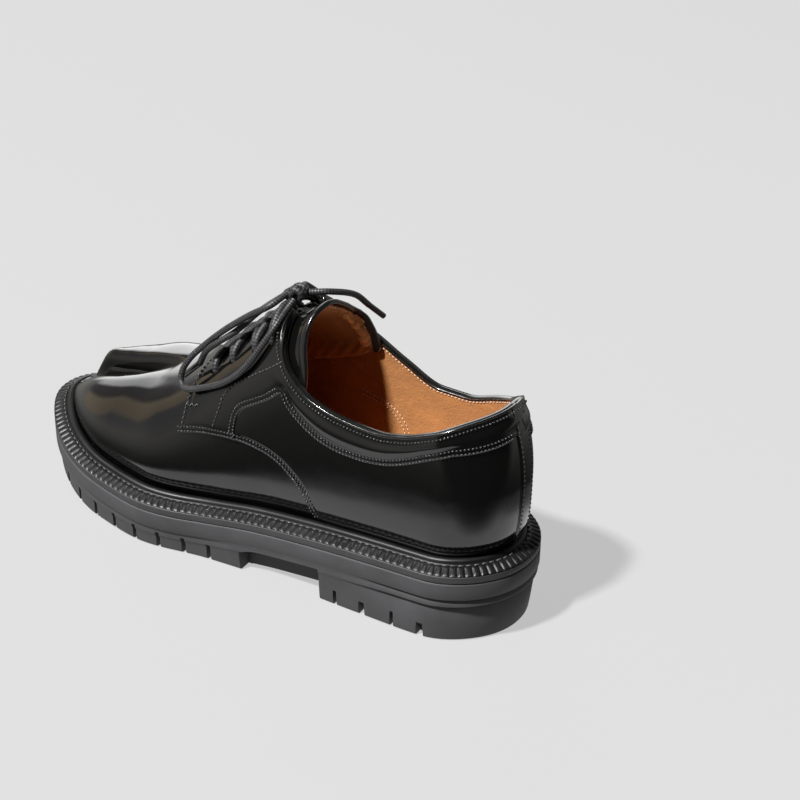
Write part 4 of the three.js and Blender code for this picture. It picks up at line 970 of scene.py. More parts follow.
def build_upper():
    """Vamp and lining as one shell, with the cleft, throat and topline cut."""
    lat = spread(0, U_FAN, side_gap)
    lat = np.sort(np.concatenate([lat[np.abs(lat - U_THROAT) > 0.0012], [U_THROAT]]))
    fan = spread(U_FAN, 2 - U_FAN, toe_gap)[1:-1]
    u = np.concatenate([lat, fan, (2 - lat[1:])[::-1]])
    n, first = len(u), int(np.argmin(np.abs(u - U_THROAT)))
    last = n - first
    q1 = rim_q(u)
    q_front = rim_q(np.array([U_THROAT - 1e-4]))[0]
    q_back = rim_q(np.array([2 - U_THROAT + 1e-4]))[0]
    front = np.arange(first, last + 1)
    near = np.minimum(front - first, last - front) / 12
    start = np.where(front < (first + last) / 2, q_front, q_back)
    q1[front] = start + (0.94 - start) * smooth(0, 1, near)
    levels = np.concatenate([np.linspace(0, 0.2, 9)[:-1], np.linspace(0.2, 1, 66)])
    rows = len(levels)
    q = q1[:, None] * levels[None]
    uu = np.repeat(u[:, None], rows, 1)
    more = np.linspace(0, 1, 13)[1:]
    q2 = q1[front][:, None] + (1 - q1[front][:, None]) * more[None]
    uu2 = np.repeat(u[front][:, None], len(more), 1)

    def points(offset, grow):
        a = surface(uu, q, np.full(q.shape, offset) + (creases(sample(GRID, uu, q)) if grow == 0 else 0))
        b = surface(uu2, q2, np.full(q2.shape, offset) + (creases(sample(GRID, uu2, q2)) if grow == 0 else 0))
        if grow:
            a[:, 0, 2] -= 3
        return cleft(np.vstack([a.reshape(-1, 3), b.reshape(-1, 3)]), grow)

    index = np.arange(n * rows).reshape(n, rows)
    faces = []
    for i in range(n):
        k = (i + 1) % n
        faces += [(index[i, j], index[k, j], index[k, j + 1], index[i, j + 1]) for j in range(rows - 1)]
    extra = n * rows + np.arange(len(front) * len(more)).reshape(len(front), len(more))
    block = np.hstack([index[front, -1:], extra])
    count = len(front)
    pole = None
    for i in range(count):
        f = front[i]
        if U_FAN <= u[f] <= 2 - U_FAN:
            pole = block[i, -1] if pole is None else pole
            block[i, -1] = pole
        elif i > count // 2:
            block[i, -1] = block[count - 1 - i, -1]
    for i in range(count - 1):
        for j in range(len(more)):
            face = [block[i, j], block[i + 1, j], block[i + 1, j + 1], block[i, j + 1]]
            face = [v for k, v in enumerate(face) if v not in face[:k]]
            if len(face) > 2:
                faces.append(tuple(face))
    outer, inner = points(0.0, 0.0), points(-WALL, 1.6)
    pts, faces, marks = shell(outer, inner, faces)
    used = np.unique(np.concatenate([np.asarray(f) for f in faces]))
    remap = -np.ones(len(pts), int)
    remap[used] = np.arange(len(used))
    faces = [tuple(remap[list(f)]) for f in faces]
    marks = [0 if m == 2 else m for m in marks]
    return mesh_object("upper_shell", pts[used], faces, [FINISH["vamp"], FINISH["lining"]],
                       marks=marks, sharp=60, replaces=("upper",))


def rim_line(side, n=500, q_off=0.0):
    """Top edge from the heel to the facing's top corner and down the throat to its front."""
    u = np.linspace(0.0, U_THROAT - 2e-4, 2400)
    u = u if side < 0 else 2 - u
    uq = np.stack([u, rim_q(u) - q_off], -1)
    return resample(uq, n, line3(uq))


def split_at(line, where):
    """Cuts a line in two at its first point for which the test on 3D points holds."""
    k = int(np.argmax(where(line3(line))))
    return line[: k + 1], line[k:]


def side_lines(side):
    """The named seam lines of one side, in surface parameters."""
    rim = rim_line(side, 1400)
    collar, throat = split_at(rim, lambda p: p[:, 1] > FACING_TOP_Y - 0.3)
    seam = seam_curve(side, VAMP_SEAM, 400)
    facing_seam, vamp_seam = split_at(seam, lambda p: p[:, 1] < 0)
    rise = seam_curve(side, BAND_FRONT, 160)
    drop = monotone([r[0] for r in BAND_DROP], [r[1] for r in BAND_DROP])
    edge = [(y, z - (float(drop(y)) if side > 0 else 0)) for y, z in BAND_REAR]
    back = seam_curve(side, [r for r in edge if r[0] > -118], 220)
    end_u = 0.012 if side < 0 else 1.988
    tail_q = find([[-128.5, 98.9 if side < 0 else 93.9]], (1, 2), side)[0]
    tail = np.vstack([back[-1], [end_u, tail_q[1]]])
    tail = catmull(np.column_stack([tail, [0, 0]]), 20)[:, :2]
    back = np.vstack([back, tail[1:]])
    back = resample(back, 260, line3(back))
    return {"rim": rim, "collar": collar, "throat": throat, "facing_seam": facing_seam, "vamp_seam": vamp_seam,
            "rise": rise, "back": back}


LINES = {}


def lines(side):
    """The seam lines of one side, worked out once."""
    if side not in LINES:
        LINES[side] = side_lines(side)
    return LINES[side]


def straight(a, b, n=60):
    """Evenly spaced points from a to b."""
    t = np.linspace(0, 1, n)[:, None]
    return np.asarray(a) * (1 - t) + np.asarray(b) * t


def build_band(side):
    """Facing and collar band of one side, with its eyelet holes."""
    ln = lines(side)
    name = "facing_and_collar_" + ("lateral" if side < 0 else "medial")
    throat = ln["throat"][::-1]
    bend = int(len(throat) * 0.42)
    cuts = (0.0, 0.16, 0.42, 1.0)

    def in_parts(parts):
        return np.vstack([resample(p, int(1000 * (b - a)), line3(p)) for p, a, b in zip(parts, cuts, cuts[1:])])

    bottom = in_parts([ln["facing_seam"], ln["rise"], ln["back"]])
    top = in_parts([throat[: bend + 1], throat[bend:], ln["collar"][::-1]])
    left, right = straight(bottom[0], top[0]), straight(bottom[-1], top[-1])
    exposed = [bottom, left, throat]

    def puffed(base):
        low, high = distance_to(base, [ln["back"]]), distance_to(base, [ln["collar"]])
        share = np.clip((low - 4.0) / np.maximum(low + high - 7.6, 1), 0, 1)
        return 0.5 * np.sin(np.pi * share) ** 2 * smooth(12, 30, -base[..., 1])

    obj = panel(name, bottom, top, left, right, BAND_OUT, exposed, channels=SEAM_ROWS, na=330, nb=24,
                ends=(True, False), extra=puffed, radius=1.4,
                replaces=("band_lateral",) if side < 0 else ("band_medial",))
    holes = []
    for y, off in EYELETS_LATERAL if side < 0 else EYELETS:
        uq = find([[spine_x(y) + side * off, y]], (0, 1), side, 0.3)[0]
        p, nrm = surface(uq[0], uq[1], 0.0), normal_at(uq[0], uq[1])
        holes.append(rod(p, nrm, EYELET_D / 2, 6, 28))
    carve(obj, *joined(holes))
    return obj


def rod(centre, axis, radius, half, sides):
    """Cylinder that cuts an eyelet."""
    a = unit(np.cross(axis, [0.3, 1, 0.2]))
    b = np.cross(axis, a)
    phi = np.linspace(0, 2 * math.pi, sides, endpoint=False)
    ring = np.cos(phi)[:, None] * a + np.sin(phi)[:, None] * b
    pts = np.vstack([centre + ring * radius - axis * half, centre + ring * radius + axis * half])
    faces = [tuple(f) for f in quads(2, sides, 0, True)]
    faces += [tuple(range(sides - 1, -1, -1)), tuple(sides + i for i in range(sides))]
    return pts, faces


def carve(obj, pts, faces, sharp=50):
    """Takes the closed forms away from an object for good."""
    mesh = bpy.data.meshes.new("cutter")
    mesh.from_pydata(to_row(pts).tolist(), [], faces)
    bm = bmesh.new()
    bm.from_mesh(mesh)
    bmesh.ops.recalc_face_normals(bm, faces=bm.faces)
    bm.to_mesh(mesh)
    bm.free()
    cutter = bpy.data.objects.new("cutter", mesh)
    bpy.context.scene.collection.objects.link(cutter)
    before = len(obj.data.polygons)
    for solver in ("MANIFOLD", "EXACT"):
        mod = obj.modifiers.new("cut", "BOOLEAN")
        mod.operation, mod.solver, mod.object = "DIFFERENCE", solver, cutter
        bpy.context.view_layer.update()
        made = bpy.data.meshes.new_from_object(obj.evaluated_get(bpy.context.evaluated_depsgraph_get()))
        obj.modifiers.clear()
        if len(made.polygons) > before * 0.3 and len(made.polygons) != before:
            obj.data = made
            break
        print("carve:", obj.name, solver, "left", len(made.polygons), "of", before)
    bpy.data.objects.remove(cutter)
    obj.data.polygons.foreach_set("use_smooth", np.ones(len(obj.data.polygons), bool))
    obj.data.set_sharp_from_angle(angle=math.radians(sharp))
    return obj


def build_quarter(side):
    """Lower panel of one side, under the band and behind the curved seam."""
    ln = lines(side)
    name = "quarter_panel_" + ("lateral" if side < 0 else "medial")
    seam = ln["vamp_seam"]
    p = line3(seam)
    floor = line_z(p[:, 1]) + 5.5
    seam = seam[: int(np.argmax(p[:, 2] < floor)) or len(seam)]
    hidden = offset_line(np.vstack([ln["rise"], ln["back"][1:]]), 3.0 if side < 0 else -3.0, 420)
    start = straight(seam[0], hidden[0], 12)
    top = resample(np.vstack([start, hidden]), 500, line3(np.vstack([start, hidden])))
    end_u = 0.012 if side < 0 else 1.988
    low = np.stack([np.linspace(seam[-1, 0], end_u, 500), np.linspace(seam[-1, 1], 0.015, 500)], -1)
    low[:60, 1] = np.linspace(seam[-1, 1], 0.015, 60)
    low[60:, 1] = 0.015
    left = seam[::-1]
    right = straight(low[-1], top[-1])
    return panel(name, low, top, left, right, QUARTER_OUT, [seam], channels=SEAM_ROWS, na=190, nb=44,
                 sides=(False, False), ends=(True, False),
                 replaces=("quarter_lateral",) if side < 0 else ("quarter_medial",))


def build_backstay():
    """Strip up the middle of the heel, over the ends of the collar bands."""
    heights = np.linspace(43, 110.5, 150)
    margin = np.array([0.7, 0.82, 0.9, 0.95, 0.985, 1])
    xs = np.concatenate([-margin[::-1], np.linspace(-0.55, 0.55, 9), margin])
    centre = spine_x(-100)
    x = centre + xs * BACKSTAY_HALF
    share = np.linspace(0, 1, 150)
    rim = rim_q(np.mod(np.linspace(-0.03, 0.03, 61), 2))
    uu = np.linspace(-0.03, 0.03, 61)
    target_x, target_z = np.meshgrid(x, heights)
    u0 = (target_x - centre) * -0.0052
    start = np.stack([u0, np.interp(target_z, [36, 112], [0, 0.5])], -1)

    def error(u, q):
        pt = sample(GRID, u, q)
        return np.stack([pt[..., 0] - target_x, pt[..., 2] - target_z], -1)

    uq = refine(start, error, 14)
    top = np.interp(uq[..., 0], uu, rim)
    q_low = uq[0, :, 1]
    q = q_low[None] + (top[-1][None] - q_low[None]) * share[:, None]
    edge = (1 - np.abs(xs)) * BACKSTAY_HALF
    off = -0.5 + 2.65 * roll(edge, 1.1)[None] * np.ones((150, 1))
    off = off - 0.14 * np.exp(-(((edge - 1.9) / 0.5) ** 2))[None]
    seam = np.abs(sample(GRID, uq[..., 0], q)[..., 2] - 99.5)
    off = off - 0.5 * np.exp(-((seam / 0.35) ** 2))
    outer = surface(uq[..., 0], q, off).reshape(-1, 3)
    inner = surface(uq[..., 0], q, np.full(off.shape, -1.1)).reshape(-1, 3)
    pts, faces, _ = shell(outer, inner, quads(150, len(xs)))
    obj = mesh_object("backstay_strip", pts, faces, FINISH["overlay"],
                      sharp=50, replaces=("backstay",))
    rows = []
    for s in (-1, 1):
        k = int(np.argmin(np.abs(xs - s * (1 - 1.9 / BACKSTAY_HALF))))
        u_line, q_line = uq[:, k, 0], q[:, k]
        rows.append((surface(u_line, q_line, np.full(150, 1.75))[4:-4], normal_at(u_line, q_line)[4:-4]))
    stitch_mesh("backstay_stitches", rows, 2.3)
    return obj


# Section of the collar's folded edge, as (outwards, up) from the topline.
BINDING = (
    (1.8, -1.15), (2.08, -0.95), (2.15, -0.55), (2.0, -0.15), (1.65, 0.05), (1.25, -0.08), (0.95, 0.18), (0.45, 0.42),
    (-0.4, 0.5), (-1.3, 0.36), (-1.9, 0.06), (-2.25, -0.3), (-2.3, -0.62), (-2.15, -0.85), (-1.8, -0.9), (-1.2, -1.0),
    (0.8, -1.5),
)


def build_binding():
    """Folded edge around the collar, from one facing to the other by way of the heel."""
    lat, med = lines(-1)["collar"], lines(1)["collar"]
    whole = np.vstack([lat[::-1], med[1:]])
    pts = line3(whole)
    s = np.concatenate([[0], np.cumsum(np.linalg.norm(np.diff(pts, axis=0), axis=1))])
    t_even = np.linspace(0, s[-1], 620)
    pts = np.stack([np.interp(t_even, s, pts[:, k]) for k in range(3)], -1)
    nrm_all = normal_at(whole[:, 0], whole[:, 1])
    nrm = unit(np.stack([np.interp(t_even, s, nrm_all[:, k]) for k in range(3)], -1))
    for _ in range(3):
        pts[1:-1] = (pts[:-2] + 2 * pts[1:-1] + pts[2:]) / 4
        nrm[1:-1] = (nrm[:-2] + 2 * nrm[1:-1] + nrm[2:]) / 4
    t = unit(np.gradient(pts, axis=0))
    nrm = unit(nrm - t * (nrm * t).sum(-1, keepdims=True))
    up = np.cross(t, nrm)
    up = up * np.where(up[:, 2:3].mean() < 0, -1, 1)
    # The binding takes the edge leather, whose lighter black is a painted highlight.
    obj = sweep("collar_binding", pts, nrm, up, BINDING, FINISH["edge"], sharp=60)
    inside = pts - nrm * 2.08 - up * 1.5
    stitch_mesh("binding_stitches", [(inside[8:-8], -nrm[8:-8])], 1.9, radius=0.21, lift=0.03, material="pale_thread")
    outside = pts + nrm * 1.86 - up * 2.7
    stitch_mesh("collar_stitches", [(outside[6:-6], nrm[6:-6])], SEAM_PITCH)
    return obj


# Two lines of thread on the facing, as (y, z) from the side: the stay and the small zigzag of its bar tack.
STAY_LINE = (
    (12.8, 71.9), (10, 81.4), (8.6, 87.3), (6.8, 90.6), (2.7, 95.2), (-5, 100.9), (-15.5, 108.4), (-23.5, 114.6),
)
BAR_TACK = ((29.8, 75.4), (29.0, 77.6), (27.4, 76.2), (26.4, 78.4), (24.4, 77.2), (23.6, 79.4), (22, 78.3))


def build_seam_stitches():
    """Rows of thread along the vamp seam, the band and the facing of both sides."""
    for side in (-1, 1):
        ln = lines(side)
        word = "lateral" if side < 0 else "medial"
        s = 1 if side < 0 else -1
        rows = []
        low = np.vstack([ln["facing_seam"], ln["vamp_seam"][1:]])
        p = line3(low)
        floor = line_z(p[:, 1]) + 10.5
        low = low[: int(np.argmax(p[:, 2] < floor)) or len(low)]
        for d in SEAM_ROWS:
            line = offset_line(low, d * s, 260)
            pts = line3(line)
            on_band = pts[:, 1] > 0.5 - d
            off = np.where(on_band, 1.68, 1.08)
            rows.append((surface(line[:, 0], line[:, 1], off), normal_at(line[:, 0], line[:, 1])))
        stitch_mesh("vamp_stitches_" + word, rows, SEAM_PITCH)
        rows = []
        for d in SEAM_ROWS:
            a = trimmed(offset_line(ln["rise"], d * s, 160), [low], d - 0.1)
            b = offset_line(ln["back"], d * s, 260)
            a = trimmed(a, [ln["back"]], d - 0.1)
            b = trimmed(b, [ln["rise"]], d - 0.1)
            rows += [on_surface(a, 1.68), on_surface(b[:-8], 1.68)]
        stitch_mesh("band_stitches_" + word, rows, SEAM_PITCH)
        front = straight(ln["facing_seam"][0], ln["throat"][-1])
        rows = [on_surface(trimmed(offset_line(front, -1.5 * s, 60), [low], 1.5), 1.74)]
        edge = trimmed(offset_line(ln["throat"], 1.9 * s, 160), [front], 1.9)
        rows.append(on_surface(edge, 1.74))
        stay = find(STAY_LINE, (1, 2), side)
        stay = resample(np.vstack([straight(a, b, 20) for a, b in zip(stay, stay[1:])]), 140)
        rows.append(on_surface(stay, 1.84))
        tack = find(BAR_TACK, (1, 2), side)
        rows.append(on_surface(np.vstack([straight(a, b, 8) for a, b in zip(tack, tack[1:])]), 1.95))
        stitch_mesh("facing_stitches_" + word, rows, 2.3)


def build_gusset():
    """Folded strip that stands in the cleft between the toes."""
    ys = np.linspace(74, 124, 70)
    top = monotone([72, 86, 100, 112, 124], [61.5, 56.8, 54.2, 51.6, 46.5])(ys)
    low = cleft_floor(ys) - 0.8
    top = top - (top - low - 0.6) * smooth(113, 124, ys)
    low = np.minimum(low, top - 0.5)
    profile = ((0.9, 0.0), (0.9, 0.55), (0.85, 0.85), (0.6, 0.97), (0.0, 1.0),
               (-0.6, 0.97), (-0.85, 0.85), (-0.9, 0.55), (-0.9, 0.0))
    pts = []
    for k, y in enumerate(ys):
        sway = 0.25 * math.sin(y * 0.35)
        for px, ph in profile:
            pts.append((CLEFT_X + px + sway, y, low[k] + (top[k] - low[k]) * ph))
    n = len(profile)
    faces = [tuple(f) for f in quads(len(ys), n, 0, True)]
    faces += [tuple(range(n - 1, -1, -1)), tuple((len(ys) - 1) * n + i for i in range(n))]
    # The gusset takes the edge leather, whose lighter black is a painted highlight on its ridge.
    return mesh_object("cleft_gusset", np.array(pts), faces, FINISH["edge"],
                       sharp=50, replaces=("toe_gusset",))


# ---------------------------------------------------------------- tongue and insole


TONGUE_EDGE = ((160, -30), (136, -31), (130, -32.5), (122, -35), (113, -38), (106, -39), (101, -39), (60, -39))
TONGUE_LOW = ((-60, 106), (-39, 104), (-37, 101), (-31, 98), (-10, 90), (8, 80), (38, 72), (60, 66))
TONGUE_X = 28.0


def tongue_grid(na=121, nb=110):
    """Surface parameters of the tongue: across from wing to wing, along from its root to its top."""
    top_y = monotone([-r[0] for r in TONGUE_EDGE], [r[1] for r in TONGUE_EDGE])
    low_z = monotone([r[0] for r in TONGUE_LOW], [r[1] for r in TONGUE_LOW])
    across = np.linspace(-1, 1, na)
    share = np.linspace(0, 1, nb)
    aa, bb = np.meshgrid(across, share, indexing="ij")
    ss = np.where(aa < 0, -1.0, 1.0)
    y_end = np.full(aa.shape, -33.0)
    centre = spine_x(-10)
    u_of_y = lambda y: np.interp(y, spine_y(FINE_U), FINE_U)
    q_wing = None
    for _ in range(6):
        y = 38 + (y_end - 38) * bb
        u = u_of_y(y)
        u = np.where(ss < 0, u, 2 - u)
        q_try = np.linspace(0.35, 1, 66)
        p = sample(GRID, np.repeat(u[..., None], 66, 2), np.broadcast_to(q_try, u.shape + (66,)))
        beside = np.minimum(TONGUE_X - p[..., 0] + centre, TONGUE_X + 5 + p[..., 0] - centre)
        room = np.minimum(p[..., 2] - low_z(p[..., 1]), beside)
        first = np.maximum((room > 0).argmax(-1), 1)[..., None]
        clear = np.take_along_axis(room, first, -1)[..., 0]
        short = np.take_along_axis(room, first - 1, -1)[..., 0]
        share_in = np.clip(clear / np.maximum(clear - short, 1e-6), 0, 1)
        q_wing = q_try[first[..., 0]] - share_in * (q_try[1] - q_try[0])
        for _ in range(6):
            q_wing[:, 1:-1] = (q_wing[:, :-2] + 2 * q_wing[:, 1:-1] + q_wing[:, 2:]) / 4
        q = 1 - np.abs(aa) * (1 - q_wing)
        pt = sample(GRID, u, q)
        y_top = top_y(-pt[..., 2]) - 0.19 * pt[..., 0]
        end = y_top[:, -1:] * np.ones_like(bb)
        y_end = y_end * 0.4 + end * 0.6
    return u, q


def fallen(points):
    """Lets the tongue's big-toe side fall below the instep near its top."""
    p = points.copy()
    p[..., 2] -= tongue_fall(p[..., 0]) * smooth(6, 28, -p[..., 1])
    return p


def build_tongue():
    """Tongue with its lining, the puffed hem inside, the bound edge and its thread."""
    u, q = tongue_grid()
    na, nb = u.shape
    base = sample(GRID, u, q)
    up_edge = 2.4
    d_top = np.linalg.norm(base - base[:, -1:], axis=-1)
    d_side = np.minimum(np.linalg.norm(base - base[:1], axis=-1), np.linalg.norm(base - base[-1:], axis=-1))
    d = np.minimum(d_top, d_side)
    outer = surface(u, q, -up_edge - 0.7 * (1 - roll(d, 1.4)))
    padded = base[..., 0] > 8
    pucker = 0.35 * np.sin(base[..., 1] * 1.1 + base[..., 2] * 0.8) * np.exp(-(((d - 6) / 3.5) ** 2)) * padded
    swell = 0.7 * np.exp(-(((d - 6.5) / 3.2) ** 2)) * padded
    inner = surface(u, q, -up_edge - 1.9 + 0.6 * (1 - roll(d, 1.2)) - pucker - swell)
    pts, faces, marks = shell(fallen(outer.reshape(-1, 3)), fallen(inner.reshape(-1, 3)), quads(na, nb))
    # The tongue's cut rim takes the edge leather, whose lighter black is a painted highlight.
    obj = mesh_object("tongue_leather_piece", pts, faces, [FINISH["vamp"], FINISH["lining"], FINISH["edge"]],
                      marks=marks, sharp=60, replaces=("tongue",))
    pad = [(i, int(np.argmin(np.abs(d_top[i] - 5.6)))) for i in range(int(na * 0.76), int(na * 0.985), 2)]
    pu, pq = np.array([u[i, j] for i, j in pad]), np.array([q[i, j] for i, j in pad])
    path = fallen(surface(pu, pq, np.full(len(pu), -up_edge - 2.5)))
    path = resample(catmull(path, 6), 90)
    _, p1, p2 = tube_frames(path)
    share = np.linspace(0, 1, 90)
    wide = 1.3 + 1.5 * share + 0.25 * np.sin(share * 34) + 0.12 * np.sin(share * 17 + 1)
    wide = wide * np.sqrt(np.clip(np.minimum(share, 1 - share) / 0.06, 0.02, 1))
    phi = np.linspace(0, 2 * math.pi, 14, endpoint=False)
    ring = p1[:, None] * np.cos(phi)[None, :, None] + p2[:, None] * np.sin(phi)[None, :, None]
    puffs = (path[:, None] + ring * wide[:, None, None]).reshape(-1, 3)
    hem = [tuple(f) for f in quads(90, 14, 0, True)] + [tuple(range(13, -1, -1)), tuple(89 * 14 + i for i in range(14))]
    # The hem's paler tan is painted light falling on the tongue's padding.
    mesh_object("tongue_padding", puffs, hem, FINISH["padding"], sharp=80)
    edge_u = np.concatenate([u[0, 30:], u[1:-1, -1], u[-1, ::-1][:4]])
    edge_q = np.concatenate([q[0, 30:], q[1:-1, -1], q[-1, ::-1][:4]])
    line = fallen(surface(edge_u, edge_q, np.full(len(edge_u), -up_edge - 0.95)))
    nrm = normal_at(edge_u, edge_q)
    s = np.concatenate([[0], np.cumsum(np.linalg.norm(np.diff(line, axis=0), axis=1))])
    even = np.linspace(0, s[-1], 420)
    line = np.stack([np.interp(even, s, line[:, k]) for k in range(3)], -1)
    nrm = np.stack([np.interp(even, s, nrm[:, k]) for k in range(3)], -1)
    for _ in range(12):
        line[1:-1] = (line[:-2] + 2 * line[1:-1] + line[2:]) / 4
        nrm[1:-1] = (nrm[:-2] + 2 * nrm[1:-1] + nrm[2:]) / 4
    t = unit(np.gradient(line, axis=0))
    nrm = unit(nrm - t * (nrm * t).sum(-1, keepdims=True))
    out = np.cross(nrm, t)
    middle = line[len(line) // 2]
    if (out[len(line) // 2] * (middle - surface(u[na // 2, nb - 30], q[na // 2, nb - 30]))).sum() < 0:
        out = -out
    profile = [(0.0, 1.15), (0.8, 0.95), (1.15, 0.4), (1.2, -0.6), (1.15, -2.2), (0.9, -2.8), (0.2, -2.6),
               (0.0, -1.6), (-0.9, -2.8), (-1.25, -2.5), (-1.3, -0.9), (-1.15, 0.35), (-0.75, 0.95)]
    sweep("tongue_binding", line, nrm, out, profile, FINISH["edge"], sharp=60)
    row = line - out * 3.6 - nrm * 1.35
    stitch_mesh("tongue_stitches", [(row[6:-6], -nrm[6:-6])], 2.2, radius=0.26, lift=0.0,
                material="pale_thread")
    return obj


LINING_SEAM = (
    (-4, 73), (-15, 76), (-24, 77.5), (-34, 77.5), (-41, 76), (-47, 74), (-51, 71.5), (-54.5, 67.5),
    (-57, 63), (-59, 55),
)


def build_lining_seam():
    """Raised seam of the lining on the big-toe side, with a double row of pale thread."""
    uq = find(catmull(np.column_stack([LINING_SEAM, np.zeros(len(LINING_SEAM))]), 8)[:, :2], (1, 2), 1)
    uq = resample(uq, 160, line3(uq))
    path = surface(uq[:, 0], uq[:, 1], np.full(160, -WALL - 0.05))
    inward = -normal_at(uq[:, 0], uq[:, 1])
    t = unit(np.gradient(path, axis=0))
    ridge = ((-0.75, -0.3), (-0.55, 0.16), (-0.25, 0.32), (0.05, 0.34), (0.16, 0.1), (0.2, -0.3))
    sweep("lining_seam", path, unit(np.cross(t, inward)), inward, ridge, FINISH["sock"], sharp=60)
    away = unit(np.cross(t, inward))
    rows = [(path[70:-4] + away[70:-4] * k + inward[70:-4] * 0.1, inward[70:-4]) for k in (-1.3, 1.1)]
    stitch_mesh("lining_stitches", rows, 1.9, radius=0.2, lift=0.05, material="pale_thread")


def build_insole():
    """Sock liner with its raised rim."""
    u = even_u(420)
    y = outline(u)[:, 1]
    low = line_z(y) + WELT_LOW + 0.15
    rise = (0.0, 2.2, 2.8, 3.0, 2.9, 2.6, 2.3)
    inset = (13.95, 13.95, 14.2, 14.8, 17.0, 20.0, 23.5)
    pts, faces = ring_mesh(u, [(np.full(len(u), i), low + r) for i, r in zip(inset, rise)])
    obj = mesh_object("sock_liner", pts, faces, FINISH["sock"], sharp=50, replaces=("insole",))
    return obj


# ---------------------------------------------------------------- sole


def build_welt():
    """Welt with its wheel marks, stitch channel and raised bead, and the thread in the channel."""
    look = bpy.context.scene.shoe_detail
    count = int(round(ARC_S[-1] * MM / look.rib_pitch))
    per = 10
    u = even_u(count * per)
    phase = np.mod(np.arange(len(u)) / per, 1)
    mark = np.exp(-(((phase - 0.5) / 0.16) ** 2))
    y = outline(u)[:, 1]
    base = line_z(y)
    low = WELT_LOW
    levels = []
    section = (
        (0.9, low + 0.05, 0), (0.35, low + 0.12, 0), (0.15, low + 0.5, 0.2), (0.45, low + 0.85, 0.4),
        (1.2, low + 1.2, 0.55), (2.4, low + 1.7, 0.5), (3.5, low + 2.12, 0.42), (4.3, low + 2.4, 0.2),
        (4.9, low + 2.5, 0), (5.5, low + 2.36, 0), (6.2, low + 2.2, 0), (6.6, low + 2.5, 0), (6.8, 7.0, 0),
        (7.0, 7.7, 0), (7.4, 8.15, 0), (8.0, 8.48, 0), (8.8, WELT_BEAD_Z, 0), (9.7, 8.42, 0), (10.5, 7.7, 0),
        (10.9, 7.0, 0), (WELT_WIDTH, 6.0, 0), (WELT_WIDTH, low + 0.05, 0),
    )
    for inset, up, depth in section:
        levels.append((np.full(len(u), inset) + depth * mark * 0.25, base + up - depth * mark))
    pts, faces = ring_mesh(u, levels, closed_frame=True)
    obj = mesh_object("welt_rand", pts, faces, FINISH["welt"], sharp=60, replaces=("welt",))
    line_u = even_u(1200)
    xy = inset_outline(np.append(line_u, 2.0), np.full(1201, 5.6))
    z = line_z(outline(np.append(line_u, 2.0))[:, 1]) + low + 2.34
    row = np.column_stack([xy, z])
    nrm = np.tile([0, 0, 1.0], (1201, 1))
    stitch_mesh("welt_stitches", [(row, nrm)], look.rib_pitch / MM, share=0.7, radius=0.42, lift=0.08,
                material="welt_thread_painted_highlight")
    return obj


def build_midsole():
    """Plain band between welt and outsole."""
    u = even_u(560)
    base = line_z(outline(u)[:, 1]) + SEAM_GAP
    levels = [(0.9, 0.0), (0.35, 0.05), (0.12, 0.3), (0.06, 0.8), (0.06, MIDSOLE_T - 0.7), (0.12, MIDSOLE_T - 0.35),
              (0.35, MIDSOLE_T - 0.1), (0.9, MIDSOLE_T)]
    pts, faces = ring_mesh(u, [(np.full(len(u), i), base + z) for i, z in levels])
    return mesh_object("midsole_band", pts, faces, FINISH["midsole"], sharp=50, replaces=("midsole",))


def heel_share(y):
    """1 along the heel block, 0 in front of it."""
    return 1 - smooth(-92, -58, y)


def side_step(y):
    """Depth of the step round the sole's side."""
    return np.maximum(np.maximum(heel_share(y), smooth(-10, 20, y)), 0.25)


def sole_taper(y):
    """How far the outsole's foot stands in from its top edge."""
    return 1.9 + 1.9 * (1 - smooth(-130, -90, y))


def prism(sections):
    """Closed form through sections of equal point count."""
    n = len(sections[0])
    pts = np.vstack([np.asarray(s, float) for s in sections])
    faces = [tuple(f) for f in quads(len(sections), n, 0, True)]
    faces += [tuple(range(n - 1, -1, -1)), tuple((len(sections) - 1) * n + i for i in range(n))]
    return pts, faces


def side_edge(y, side):
    """Place across the shoe of the sole's edge, lateral or medial."""
    share = (y + HALF) / LENGTH
    back, front = max(0, (-HALF + HEEL_ROUND - y) / HEEL_ROUND), max(0, (y - HALF + TOE_ROUND) / TOE_ROUND)
    end = (1 - max(back, front) ** ROUND_POWER) ** (1 / ROUND_POWER)
    return float(plan_mid(share)) + side * float(plan_lat(share) if side < 0 else plan_med(share)) * end


